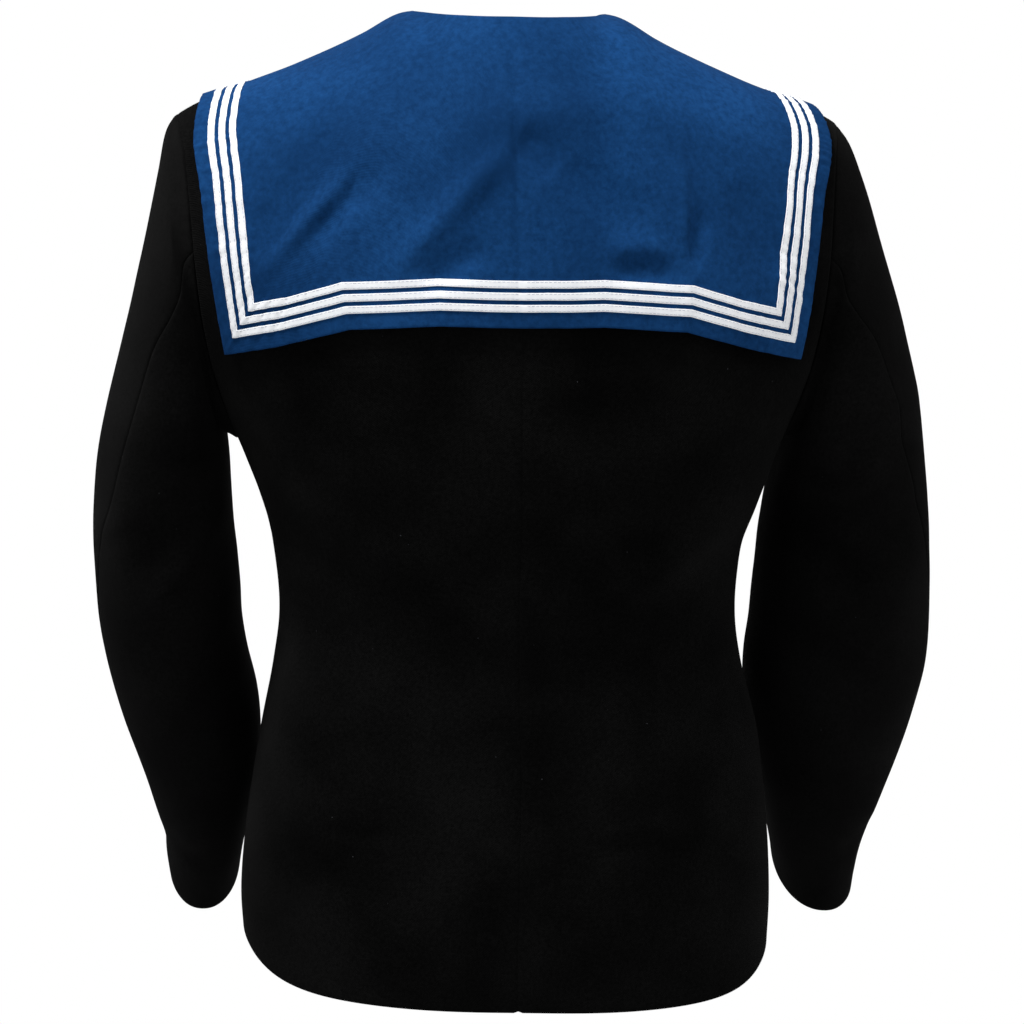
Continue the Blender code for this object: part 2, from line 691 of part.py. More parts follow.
def inward_steps(line, mitre_stations):
    """The step at each station that moves the collar's edge inwards by one, mitred at its corner. The
    stations beside the corner slide with it, so that no two station lines cross, and the last one goes
    straight up beside the middle of the front."""
    start, corner, end = mitre_stations
    along = np.diff(line, axis=0)
    along /= np.linalg.norm(along, axis=1, keepdims=True)
    normals = np.stack([-along[:, 1], along[:, 0]], axis=1)
    before = np.vstack([normals[:1], normals])
    after = np.vstack([normals, normals[-1:]])
    steps = (before + after) / (1 + np.sum(before * after, axis=1, keepdims=True))
    lengths = np.cumsum(np.linalg.norm(np.diff(line, axis=0, prepend=line[:1]), axis=1))
    bottom, side = along[corner - 1], along[corner]
    mitre = steps[corner].copy()
    for i in range(start, corner):
        steps[i] += bottom * np.dot(mitre, bottom) * (lengths[i] - lengths[start]) / (lengths[corner] - lengths[start])
    for i in range(corner + 1, end):
        steps[i] += side * np.dot(mitre, side) * (lengths[end] - lengths[i]) / (lengths[end] - lengths[corner])
    steps[0] = (0.0, 1.0)
    steps[-1] = (0.0, 1 / along[-1, 0])
    return steps


def flap_lift(side, point):
    """How far the collar stands off the body: least on the shoulders, most along the flap's bottom edge."""
    if side != "back":
        return COLLAR_LIFT
    share = np.clip((FLAP_TOP_Z - point[2]) / FLAP_HEIGHT, 0, 1)
    return COLLAR_LIFT + (FLAP_LIFT - COLLAR_LIFT) * share * share * (3 - 2 * share)


def collar_pair(table, sign, place):
    """The collar's outer and inner points at a place of the flat cloth."""
    rise, x = draped(table, abs(place[0]), place[1])
    side, own_rise = ("back", rise) if rise <= 1 else ("front", 2 - rise)
    point = mirrored(sign, dome_point(side, own_rise, x))
    n = mirrored(sign, dome_normal(side, own_rise, x))
    lift = flap_lift(side, point) - trough(COLLAR_FOLDS, side, point) - trough(BODY_FOLDS, side, point)
    inner = point + n * (SEAM + max(0.0, lift))
    return inner + n * COTTON, inner


def make_collar(cotton, tape):
    table = drape_table()
    distances = [COLLAR_INNER_ROW] + sorted((d for pair in TAPE_ROWS.values() for d in pair), reverse=True)
    first = COLLAR_PLAIN_ROWS + 1
    halves, widths = {}, {}
    for sign in (1, -1):
        edge, fold, mitre_stations = collar_lines(table, sign)
        inward = inward_steps(edge, mitre_stations)
        width = widths[sign] = np.linalg.norm(edge - fold, axis=1) / np.linalg.norm(inward, axis=1)
        rows = [[] for _ in range(first + len(distances) + 1)]
        for i in range(len(edge)):
            allowed = width[i] - COLLAR_TIP_MARGIN
            reach = [min(d, allowed - COLLAR_ROW_GAP * k) for k, d in enumerate(distances)] + [0.0]
            places = [edge[i] + inward[i] * d for d in reach]
            shares = [(k / first) ** COLLAR_ROW_CROWDING for k in range(first)]
            plain = [fold[i] + (places[0] - fold[i]) * share for share in shares]
            for row, place in zip(rows, plain + places):
                row.append(collar_pair(table, sign, place))
        halves[sign] = rows
    shell("collar", cotton, [[row[::-1] for row in halves[1]], halves[-1]])
    for name, (near, far) in TAPE_ROWS.items():
        wide = [w > far + COLLAR_TIP_MARGIN + TAPE_END_MARGIN for w in widths[1]]
        count = wide.index(False) if False in wide else len(wide)
        chosen = [first + distances.index(far), first + distances.index(near)]
        left, right = ([[lifted(pair) for pair in halves[sign][r][:count]] for r in chosen] for sign in (1, -1))
        shell(name, tape, [[row[::-1] for row in left], right])


def lifted(pair):
    """The tape's pair on top of the collar's pair."""
    outer, inner = pair
    n = unit(outer - inner)
    return outer + n * (SEAM + TAPE), outer + n * SEAM


def main():
    for old in list(bpy.data.objects):
        bpy.data.objects.remove(old, do_unlink=True)
    bpy.context.scene.collection.children.link(bpy.data.collections.new(COLLECTION))
    wool = material("black wool serge", (0.0040, 0.0042, 0.0048), 0.95)
    cotton = material("blue cotton drill", (0.012, 0.062, 0.180), 0.85)
    tape = material("white cotton tape", (0.80, 0.82, 0.84), 0.8)
    make_body(wool)
    make_sleeve("left", 1, SLEEVE_LEFT, wool)
    make_sleeve("right", -1, SLEEVE_RIGHT, wool)
    make_collar(cotton, tape)


main()
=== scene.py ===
import math

import bpy
import numpy as np
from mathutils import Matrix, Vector, noise


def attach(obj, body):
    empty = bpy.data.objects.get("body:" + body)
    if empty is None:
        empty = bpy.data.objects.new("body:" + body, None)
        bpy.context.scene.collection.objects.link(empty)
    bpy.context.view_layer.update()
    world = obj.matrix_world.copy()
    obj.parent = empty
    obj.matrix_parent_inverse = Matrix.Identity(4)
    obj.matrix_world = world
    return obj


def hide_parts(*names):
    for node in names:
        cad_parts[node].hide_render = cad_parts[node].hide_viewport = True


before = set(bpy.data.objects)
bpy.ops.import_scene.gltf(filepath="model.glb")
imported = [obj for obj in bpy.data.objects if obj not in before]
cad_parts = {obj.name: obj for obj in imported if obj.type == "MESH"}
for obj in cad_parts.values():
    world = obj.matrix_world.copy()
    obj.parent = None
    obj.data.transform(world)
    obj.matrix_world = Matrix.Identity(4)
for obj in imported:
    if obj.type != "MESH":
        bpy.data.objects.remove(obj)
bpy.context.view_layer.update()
print("frame loaded:", len(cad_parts), "cloth solids")


# Numbers and colours

def linearColour(hexColour):
    parts = [int(hexColour[k:k + 2], 16) / 255 for k in (1, 3, 5)]
    return [c / 12.92 if c <= 0.04045 else ((c + 0.055) / 1.055) ** 2.4 for c in parts] + [1.0]


def smoothColumn(table, column, at):
    # one column of a table at values of its first column, on a smooth curve through its rows
    keys = np.array([row[0] for row in table], float)
    values = np.array([row[column] for row in table], float)
    slopes = np.gradient(values, keys)
    at = np.clip(np.asarray(at, float), keys[0], keys[-1])
    i = np.clip(np.searchsorted(keys, at) - 1, 0, len(keys) - 2)
    step = keys[i + 1] - keys[i]
    t = (at - keys[i]) / step
    return (
        (2 * t**3 - 3 * t**2 + 1) * values[i]
        + (t**3 - 2 * t**2 + t) * step * slopes[i]
        + (3 * t**2 - 2 * t**3) * values[i + 1]
        + (t**3 - t**2) * step * slopes[i + 1]
    )


def unit(v):
    return v / np.maximum(np.linalg.norm(v, axis=-1, keepdims=True), 1e-12)


def easedStep(t):
    t = np.clip(t, 0, 1)
    return t * t * (3 - 2 * t)


def lineLengths(line):
    return np.cumsum(np.linalg.norm(np.diff(line, axis=0, prepend=line[:1]), axis=1))


def onLine(at, lengths, line):
    return np.stack([np.interp(at, lengths, column) for column in line.T], axis=-1)


def closeAtEnds(steps, fine):
    # shares from 0 to 1, with a few short steps next to each end for the turned edge
    ends = np.array([0, 0.2, 0.5]) * fine
    return np.concatenate([ends, np.linspace(fine, 1 - fine, steps), 1 - ends[::-1]])


def cloudyNoise(points, size, seed):
    flat = points.reshape(-1, 3) / size + seed
    return np.array([noise.noise(Vector(p)) for p in flat]).reshape(points.shape[:-1])


# The worn form: level rings below the armpits and a dome above them, as the solids have it

bodyForm = {
    "wall": 0.0016,
    "seamGap": 0.0003,
    "seamTurn": 0.0003,
    "seamLap": 0.0003,
    "lean": 0.02,
    "hemSideRise": 0.016,
    "hemSidePower": 8,
    "hemTilt": 0.030,
    "hemFadeHeight": 0.08,
    "hemDepth": 0.026,
    "hemWall": 0.0030,
    "domeSquare": 2.3,
    "rings": [
        # z, halfWidth, back, front, square, sway
        (-0.627, 0.1840, 0.128, 0.120, 2.7, 0.003),
        (-0.585, 0.1847, 0.127, 0.119, 2.7, 0.003),
        (-0.545, 0.1825, 0.124, 0.117, 2.6, 0.002),
        (-0.505, 0.1775, 0.120, 0.114, 2.6, 0.001),
        (-0.465, 0.1710, 0.116, 0.111, 2.5, 0.000),
        (-0.425, 0.1615, 0.112, 0.109, 2.4, 0.001),
        (-0.385, 0.1557, 0.110, 0.108, 2.3, 0.001),
        (-0.345, 0.1580, 0.112, 0.110, 2.3, 0.001),
        (-0.305, 0.1672, 0.116, 0.114, 2.4, 0.000),
        (-0.265, 0.1800, 0.120, 0.118, 2.5, 0.000),
    ],
    "dome": [
        # rise, halfWidth, armholeX
        (0.0, 0.1800, 0.1800),
        (0.1, 0.1863, 0.1840),
        (0.2, 0.2001, 0.1920),
        (0.3, 0.2133, 0.1990),
        (0.4, 0.2250, 0.2030),
        (0.5, 0.2366, 0.2050),
        (0.6, 0.2483, 0.2075),
        (0.7, 0.2580, 0.2110),
        (0.8, 0.2610, 0.2135),
        (0.9, 0.2630, 0.2150),
        (1.0, 0.2635, 0.2155),
    ],
    "shoulderLine": [
        # x, z
        (0.000, 0.0325),
        (0.015, 0.0320),
        (0.030, 0.0265),
        (0.055, 0.0120),
        (0.070, 0.0087),
        (0.093, -0.0040),
        (0.116, -0.0150),
        (0.168, -0.0360),
        (0.205, -0.0480),
        (0.215, -0.0540),
        (0.240, -0.0790),
        (0.270, -0.1190),
    ],
}
hemHeight = bodyForm["rings"][0][0]
armpitHeight = bodyForm["rings"][-1][0]
armpitDepth = {"back": bodyForm["rings"][-1][2], "front": bodyForm["rings"][-1][3]}
armpitSquare = bodyForm["rings"][-1][4]

neckForm = {"halfWidth": 0.074, "backZ": -0.006, "sideZ": 0.008, "vRise": 0.25, "vBend": 0.5}


def riseTurn(rise):
    return 0.25 * math.pi * (1 - np.cos(math.pi * rise))


def riseAt(x, z):
    # the dome's rise, 0 at the armpit and 1 on the shoulder, where it reaches this height over x
    span = smoothColumn(bodyForm["shoulderLine"], 1, x) - armpitHeight
    share = np.clip((z - armpitHeight) / span, 0, 1)
    turn = np.arcsin(share ** (bodyForm["domeSquare"] / 2))
    return np.arccos(np.clip(1 - turn / (0.25 * math.pi), -1, 1)) / math.pi


def domePoints(side, rise, x):
    # a rise past 1 has gone over the shoulder to the other side
    rise, x = np.broadcast_arrays(np.asarray(rise, float), np.asarray(x, float))
    over = rise > 1
    ownRise = np.maximum(np.where(over, 2 - rise, rise), 0)
    backSide = over != (side == "back")
    depth = np.where(backSide, armpitDepth["back"], armpitDepth["front"])
    half = smoothColumn(bodyForm["dome"], 1, ownRise)
    depth = depth * (1 - np.minimum(x / half, 1) ** armpitSquare) ** (1 / armpitSquare)
    arc = 2 / bodyForm["domeSquare"]
    turn = riseTurn(ownRise)
    z = armpitHeight + (smoothColumn(bodyForm["shoulderLine"], 1, x) - armpitHeight) * np.sin(turn) ** arc
    y = depth * np.maximum(np.cos(turn), 0) ** arc
    return np.stack([x, np.where(backSide, y, -y), z], axis=-1)


def domeNormals(side, rise, x):
    rise = np.clip(rise, 0.02, 1.98)
    x = np.maximum(x, 0.004)
    up = domePoints(side, rise + 0.01, x) - domePoints(side, rise - 0.01, x)
    across = domePoints(side, rise, x + 0.002) - domePoints(side, rise, x - 0.002)
    return facingOut(unit(np.cross(up, across)), domePoints(side, rise, x))


def facingOut(normals, points):
    axis = points * [0, 0, 1]
    axis[..., 2] = np.minimum(axis[..., 2] - 0.05, -0.1)
    return np.where(np.sum(normals * (points - axis), axis=-1, keepdims=True) > 0, normals, -normals)


def armholeShare(rise):
    edge, half = smoothColumn(bodyForm["dome"], 2, rise), smoothColumn(bodyForm["dome"], 1, rise)
    return np.arcsin(np.minimum(1, (edge / half) ** (armpitSquare / 2)))


def domeX(rise, turn):
    return smoothColumn(bodyForm["dome"], 1, rise) * np.sin(turn) ** (2 / armpitSquare)


def hemFade(z):
    return np.clip(1 - (z - hemHeight) / bodyForm["hemFadeHeight"], 0, 1) ** 2


def ringPoints(side, z, turn):
    # level rings, from the middle (turn 0) to the side seam (a quarter turn)
    half, back, front, square = (smoothColumn(bodyForm["rings"], i, z) for i in (1, 2, 3, 4))
    x = half * np.sin(turn) ** (2 / square)
    y = (back if side == "back" else -front) * np.maximum(np.cos(turn), 0) ** (2 / square)
    lifted = z + bodyForm["hemSideRise"] * hemFade(z) * np.sin(turn) ** bodyForm["hemSidePower"]
    return np.stack(np.broadcast_arrays(x, y, lifted), axis=-1)


def backNeckRise(x):
    z = neckForm["backZ"] + (neckForm["sideZ"] - neckForm["backZ"]) * (x / neckForm["halfWidth"]) ** 2
    return np.where(x < neckForm["halfWidth"], riseAt(x, np.minimum(z, neckForm["sideZ"])), 1.0)


def veeX(rise):
    share = np.maximum(0, (rise - neckForm["vRise"]) / (1 - neckForm["vRise"]))
    return neckForm["halfWidth"] * share ** neckForm["vBend"]


# Folds pressed or worn into the cloth, each a line seen from behind or from the front

def foldHeight(folds, side, points):
    # how far the folds raise (above 0) or sink the cloth at these points
    x, z = points[..., 0], points[..., 2]
    total = np.zeros(x.shape)
    for name, line, halfWidth, height in folds:
        if name != side:
            continue
        stops = np.array(line, float)
        lengths = np.linalg.norm(np.diff(stops, axis=0), axis=1)
        nearest = np.full(x.shape, 1e9)
        along = np.zeros(x.shape)
        done = 0.0
        for start, step, length in zip(stops, np.diff(stops, axis=0), lengths):
            dx, dz = x - start[0], z - start[1]
            t = np.clip((dx * step[0] + dz * step[1]) / length**2, 0, 1)
            away = np.hypot(dx - t * step[0], dz - t * step[1])
            closer = away < nearest
            along = np.where(closer, done + t * length, along)
            nearest = np.where(closer, away, nearest)
            done += length
        share = along / done
        taper = easedStep(share / 0.3) * easedStep((1 - share) / 0.3) * 0.85 + 0.15
        total += height * taper * np.exp(-(nearest / halfWidth) ** 2)
    return total


def foldsBySide(folds, onBack, points):
    return np.where(onBack, foldHeight(folds, "back", points), foldHeight(folds, "front", points))


# Shells of cloth

clothMade = {}
narrowestCut = 0.0101   # a sheet's cut is stated from 10 mm up, so a tape's has this width and its own area


def gridNormals(points, middle=None):
    across, up = np.gradient(points, axis=1), np.gradient(points, axis=0)
    normals = unit(np.cross(across, up))
    onMiddle = np.abs(points[..., 0]) < 1e-6
    normals[onMiddle, 0] = 0
    normals = unit(normals)
    if middle is None:
        return facingOut(normals, points)
    return normals if np.sum(normals * (points - middle)) > 0 else -normals


def clothLengths(points):
    # metres along the cloth across each row and up each column, for the weave and for the cut
    across = np.cumsum(np.linalg.norm(np.diff(points, axis=1, prepend=points[:, :1]), axis=2), axis=1)
    up = np.cumsum(np.linalg.norm(np.diff(points, axis=0, prepend=points[:1]), axis=2), axis=0)
    return across, up


def patch(points, normals, wall, turn=None, flip=False):
    # turn is how far the round edge stands out: half the wall, or less next to a seam
    across, up = clothLengths(points)
    weave = np.stack([-across if flip else across, up], axis=-1)
    wall = np.broadcast_to(wall, points.shape[:2])
    turn = wall / 2 if turn is None else turn
    return {"points": points, "normals": normals, "wall": wall, "turn": turn, "weave": weave}


def seamTurn(wall, first, last, openEnd):
    # the turn of a panel whose columns and rows end in seams, but for its open end
    turn = np.array(wall) / 2
    turn[:, 0] = np.where(first, bodyForm["seamTurn"], turn[:, 0])
    turn[:, -1] = np.where(last, bodyForm["seamTurn"], turn[:, -1])
    turn[-1 if openEnd == 0 else 0] = bodyForm["seamTurn"]
    return turn


def clothShell(name, patches, finish, edgeSteps=3):
    # two layers of cloth and a round turned edge wherever a patch ends
    points, normals, walls, turns, weaves = (
        np.concatenate([p[key].reshape(-1, *p[key].shape[2:]) for p in patches])
        for key in ("points", "normals", "wall", "turn", "weave"))
    _, first, merged = np.unique(np.round(points, 6), axis=0, return_index=True, return_inverse=True)
    merged = merged.reshape(-1)
    count = len(first)
    summed = np.zeros((count, 3))
    np.add.at(summed, merged, normals)
    points, normals = points[first], unit(summed)
    walls, weaves, turns = walls[first], weaves[first], turns[first]
    quads, start = [], 0
    for p in patches:
        rows, columns = p["points"].shape[:2]
        index = merged[start:start + rows * columns].reshape(rows, columns)
        start += rows * columns
        corners = [index[:-1, :-1], index[:-1, 1:], index[1:, 1:], index[1:, :-1]]
        quad = np.stack(corners, axis=-1).reshape(-1, 4)
        a, b, d = points[quad[:, 0]], points[quad[:, 1]], points[quad[:, 3]]
        facing = np.sum(np.cross(b - a, d - a) * normals[quad[:, 0]])
        quads.append(quad if facing > 0 else quad[:, ::-1])
    quads = np.concatenate(quads)
    edges = np.concatenate([quads[:, [k, (k + 1) % 4]] for k in range(4)])
    known = set(map(tuple, edges.tolist()))
    rim = np.array([e for e in edges.tolist() if e[0] != e[1] and (e[1], e[0]) not in known])
    outward = np.zeros((count, 3))
    direction = unit(points[rim[:, 1]] - points[rim[:, 0]])
    for end in (0, 1):
        np.add.at(outward, rim[:, end], np.cross(direction, normals[rim[:, end]]))
    onRim = np.unique(rim)
    outward = unit(outward[onRim])
    radius, turn = walls[onRim, None] / 2, turns[onRim, None]
    layers = [points, points - normals * walls[:, None]]
    centre = points[onRim] - normals[onRim] * radius
    for k in range(1, edgeSteps + 1):
        angle = math.pi * k / (edgeSteps + 1)
        layers.append(centre + radius * math.cos(angle) * normals[onRim] + turn * math.sin(angle) * outward)
    place = np.zeros(count, int)
    place[onRim] = np.arange(len(onRim))
    faces = [quads, quads[:, ::-1] + count]
    ladder = [rim] + [place[rim] + 2 * count + k * len(onRim) for k in range(edgeSteps)] + [rim + count]
    for upper, lower in zip(ladder, ladder[1:]):
        faces.append(np.stack([upper[:, 1], upper[:, 0], lower[:, 0], lower[:, 1]], axis=-1))
    weaves = np.concatenate([weaves, weaves] + [weaves[onRim]] * edgeSteps)
    return meshObject(name, np.concatenate(layers), np.concatenate(faces), finish, weaves)


def placed(name, data):
    made = bpy.data.objects.new(name, data)
    bpy.context.scene.collection.objects.link(made)
    return made


def meshObject(name, points, faces, finish, weave=None):
    leaned = np.array(points, float)
    leaned[:, 2] += bodyForm["lean"] * leaned[:, 0]
    clean = []
    for face in faces.tolist():
        corners = [c for k, c in enumerate(face) if c != face[k - 1]]
        if len(corners) > 2:
            clean.append(corners)
    mesh = bpy.data.meshes.new(name)
    mesh.from_pydata([tuple(p) for p in leaned], [], clean)
    mesh.shade_smooth()
    if weave is not None:
        layer = mesh.uv_layers.new(name="weave")
        corners = np.empty(len(mesh.loops), np.int32)
        mesh.loops.foreach_get("vertex_index", corners)
        layer.data.foreach_set("uv", weave[corners].astype(np.float32).reshape(-1))
    mesh.materials.append(finish)
    return placed(name, mesh)


def fitted(piece, nodes, grids=()):
    # ties the piece to the frame and states the cut of its cloth, measured along the cloth
    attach(piece, "root")
    if nodes:
        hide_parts(*nodes)
    if not len(grids):
        return
    width = length = area = 0.0
    for grid in grids:
        across, up = clothLengths(grid)
        width = width + across[:, -1].max()
        length = max(length, up[-1].max())
        sides = np.cross(grid[1:, 1:] - grid[:-1, :-1], grid[1:, :-1] - grid[:-1, 1:])
        area += np.linalg.norm(sides, axis=-1).sum() / 2
    length = max(length, narrowestCut)
    area = min(area, 0.999 * width * length)
    clothMade[piece.name] = (width, length, area)


# Materials

def addNode(nodes, kind, inputs=None, **settings):
    # one node with its settings; an input takes a value or another node's output
    node = nodes.new(kind)
    for name, value in settings.items():
        setattr(node, name, value)
    for key, value in (inputs or {}).items():
        socket = node.inputs[key]
        if isinstance(value, bpy.types.NodeSocket):
            node.id_data.links.new(value, socket)
        else:
            socket.default_value = value
    return node


def newMaterial(name):
    material = bpy.data.materials.new(name)
    material.use_nodes = True
    nodes = material.node_tree.nodes
    return material, nodes, nodes["Principled BSDF"]


def noiseNode(nodes, place, perMetre, detail, roughness=0.5):
    return addNode(nodes, "ShaderNodeTexNoise", {
        "Vector": place, "Scale": perMetre, "Detail": detail, "Roughness": roughness}).outputs["Fac"]


def rangeNode(nodes, value, start, end):
    return addNode(nodes, "ShaderNodeMapRange", {"Value": value, "From Min": start, "From Max": end}).outputs[0]


def colourNode(nodes, factor, one, other):
    inputs = {"Factor": factor, "A": one, "B": other}
    return addNode(nodes, "ShaderNodeMix", inputs, data_type="RGBA").outputs["Result"]


def threadLines(nodes, spacing, turn, waver):
    # parallel thread lines, spacing in metres, turned by an angle across the cloth
    weave = addNode(nodes, "ShaderNodeUVMap", uv_map="weave")
    mapped = addNode(nodes, "ShaderNodeMapping", {
        "Vector": weave.outputs[0], "Rotation": (0, 0, math.radians(turn)), "Scale": (1 / spacing,) * 3})
    # the node draws 20 lines in tau at a scale of 1: this scale makes that one line to the spacing
    return addNode(nodes, "ShaderNodeTexWave", {
        "Vector": mapped.outputs[0], "Scale": math.tau / 20, "Distortion": waver, "Detail": 2.0,
    }, wave_profile="SIN").outputs["Fac"]


def makeCloth(finish):
    # fibres and clouds of wear tint the cloth; the thread lines, with the fibres on them, make its bump
    material, nodes, shader = newMaterial(finish["name"])
    place = addNode(nodes, "ShaderNodeTexCoord").outputs["Object"]
    fibres = noiseNode(nodes, place, *finish["fibres"])
    tone = fibres
    if "clouds" in finish:
        clouds = noiseNode(nodes, place, *finish["clouds"])
        tone = addNode(nodes, "ShaderNodeMath", {0: fibres, 1: clouds}, operation="MULTIPLY").outputs[0]
    colour = colourNode(nodes, rangeNode(nodes, tone, *finish["toneRange"]),
                        linearColour(finish["colour"]), linearColour(finish["paleColour"]))
    if "lintColour" in finish:
        specks = addNode(nodes, "ShaderNodeTexVoronoi", {"Vector": place, "Scale": finish["lintPerMetre"]})
        speck = rangeNode(nodes, specks.outputs["Distance"], *finish["lintRange"])
        colour = colourNode(nodes, speck, colour, linearColour(finish["lintColour"]))
    lines = threadLines(nodes, finish["threadSpacing"], finish["threadTurn"], finish["threadWaver"])
    raised = {0: lines, 1: finish["threadShare"], 2: fibres}
    height = addNode(nodes, "ShaderNodeMath", raised, operation="MULTIPLY_ADD")
    bump = addNode(nodes, "ShaderNodeBump", {
        "Height": height.outputs[0], "Strength": finish["bump"], "Distance": finish["bumpHeight"]})
    links = material.node_tree.links
    links.new(colour, shader.inputs["Base Color"])
    links.new(bump.outputs[0], shader.inputs["Normal"])
    for socket, value in finish["surface"].items():
        shader.inputs[socket].default_value = value
    return material


# fibres and clouds: how many to a metre, detail, roughness
woolFinish = {
    # wool serge, woven as a twill and napped: a matt near-black that only lightens where the fibres catch light
    "name": "napped black wool serge",
    "colour": "#040404",
    "paleColour": "#131313",
    "lintColour": "#4a4b50",
    "lintPerMetre": 55.0,
    "lintRange": (0.022, 0.012),
    "fibres": (1 / 0.0022, 6.0, 0.7),
    "clouds": (14.0, 3.0),
    "toneRange": (0.12, 0.42),
    "threadSpacing": 0.001005,   # a real serge twill is 0.5 mm: drawn coarser so that it shows
    "threadTurn": 60,
    "threadWaver": 1.2,
    "threadShare": 0.35,
    "bump": 0.8,
    "bumpHeight": 0.0006,
    "surface": {"Roughness": 0.95, "Specular IOR Level": 0.02, "Sheen Weight": 0.01, "Sheen Roughness": 0.5},
}

cottonFinish = {
    # cotton drill, vat dyed and pressed: an even mid blue with a faint steep twill and soft lights on its folds
    "name": "pressed blue cotton drill",
    "colour": "#0b325e",
    "paleColour": "#17477e",
    "fibres": (1 / 0.004, 5.0, 0.65),
    "clouds": (9.0, 2.0),
    "toneRange": (0.14, 0.40),
    "threadSpacing": 0.000691,   # a real drill twill is 0.5 mm: drawn a little coarser
    "threadTurn": 62,
    "threadWaver": 0.6,
    "threadShare": 0.6,
    "bump": 0.35,
    "bumpHeight": 0.0004,
    "surface": {"Roughness": 0.88, "Specular IOR Level": 0.06},
}

tapeFinish = {
    # bleached cotton tape, woven narrow and flat: a clean white with faint cross ribs
    "name": "bleached woven cotton tape",
    "colour": "#e6e9ee",
    "paleColour": "#f3f5f8",
    "fibres": (420.0, 4.0),
    "toneRange": (0.35, 0.6),
    "threadSpacing": 0.000754,   # real tape ribs are 0.4 mm: drawn coarser so that they show
    "threadTurn": 0,
    "threadWaver": 0.4,
    "threadShare": 0.7,
    "bump": 0.3,
    "bumpHeight": 0.0003,
    # painted glow: the tape gives off a little light of its own, so that it stays bright white
    "surface": {"Roughness": 0.8, "Emission Color": linearColour("#f3f5f8"), "Emission Strength": 0.22},
}

threadColour = "#b9bec9"


def makeThread():
    # spun polyester thread, bleached: a little greyer than the tape, so that the stitches just show
    material, nodes, shader = newMaterial("bleached spun sewing thread")
    shader.inputs["Base Color"].default_value = linearColour(threadColour)
    shader.inputs["Roughness"].default_value = 0.7
    return material


wool, cotton, tape = (makeCloth(finish) for finish in (woolFinish, cottonFinish, tapeFinish))
thread = makeThread()
print("materials made")


# Body panels

bodyPanels = {
    "rowsBelow": 118,
    "rowsAbove": 96,
    "joinReach": 22,          # rows each way over which the cloth rounds from the waist rings into the dome
    "joinEasing": 60,
    "columns": 84,
    "turnedEdge": 0.012,
    "seamDip": 0.0006,
    "seamDipWidth": 0.0011,
    "softness": 0.0008,
    "softSize": 0.07,
    "folds": [
        # side, line of x and z, halfWidth, height
        ("back", [(0.168, -0.300), (0.120, -0.335), (0.070, -0.372)], 0.016, -0.0034),
        ("back", [(-0.168, -0.310), (-0.120, -0.345), (-0.070, -0.382)], 0.016, -0.0034),
        ("back", [(0.150, -0.275), (0.105, -0.315), (0.050, -0.345)], 0.012, 0.0022),
        ("back", [(-0.150, -0.285), (-0.110, -0.325), (-0.055, -0.350)], 0.012, 0.0022),
        ("back", [(0.132, -0.506), (0.106, -0.510), (0.078, -0.504)], 0.006, -0.0022),
        ("back", [(-0.050, -0.518), (-0.082, -0.512), (-0.112, -0.524)], 0.007, -0.0022),
        ("back", [(-0.045, -0.508), (-0.085, -0.502), (-0.118, -0.512)], 0.006, 0.0012),
        ("back", [(0.020, -0.380), (0.030, -0.470), (0.024, -0.560)], 0.018, -0.0014),
        ("back", [(-0.030, -0.400), (-0.036, -0.480), (-0.030, -0.590)], 0.018, 0.0014),
        ("front", [(0.160, -0.300), (0.120, -0.325), (0.080, -0.352)], 0.016, -0.0034),
        ("front", [(-0.160, -0.300), (-0.118, -0.330), (-0.075, -0.355)], 0.016, -0.0034),
        ("front", [(0.060, -0.380), (0.075, -0.470), (0.070, -0.570)], 0.020, -0.0018),
        ("front", [(-0.050, -0.400), (-0.060, -0.500), (-0.052, -0.590)], 0.020, -0.0018),
    ],
}


def panelShares():
    return closeAtEnds(bodyPanels["columns"], bodyPanels["turnedEdge"])


def lowerPanel(side, shares):
    z = np.linspace(hemHeight + bodyForm["hemWall"] / 2, armpitHeight, bodyPanels["rowsBelow"])[:, None]
    return ringPoints(side, z, shares[None, :] * math.pi / 2)


def upperPanel(side, shares):
    rowRise = np.linspace(0, 1, bodyPanels["rowsAbove"])[1:, None]
    if side == "back":
        rise = rowRise * backNeckRise(domeX(1.0, shares[None, :] * armholeShare(1.0)))
        x = domeX(rise, shares[None, :] * armholeShare(rowRise))
    else:
        rise = np.broadcast_to(rowRise, (len(rowRise), len(shares)))
        start = np.arcsin((veeX(rowRise) / smoothColumn(bodyForm["dome"], 1, rowRise)) ** (armpitSquare / 2))
        x = domeX(rise, start + (armholeShare(rowRise) - start) * shares[None, :])
    return domePoints(side, rise, x)


def edgeDip(points, first, last, top):
    # the cloth turns in a little next to a seam
    across, up = clothLengths(points)
    dip = np.zeros(points.shape[:2])
    for wanted, away in ((first, across), (last, across[:, -1:] - across), (top, up[-1:] - up)):
        if wanted:
            dip += np.exp(-(away / bodyPanels["seamDipWidth"]) ** 2)
    return bodyPanels["seamDip"] * np.minimum(dip, 1)


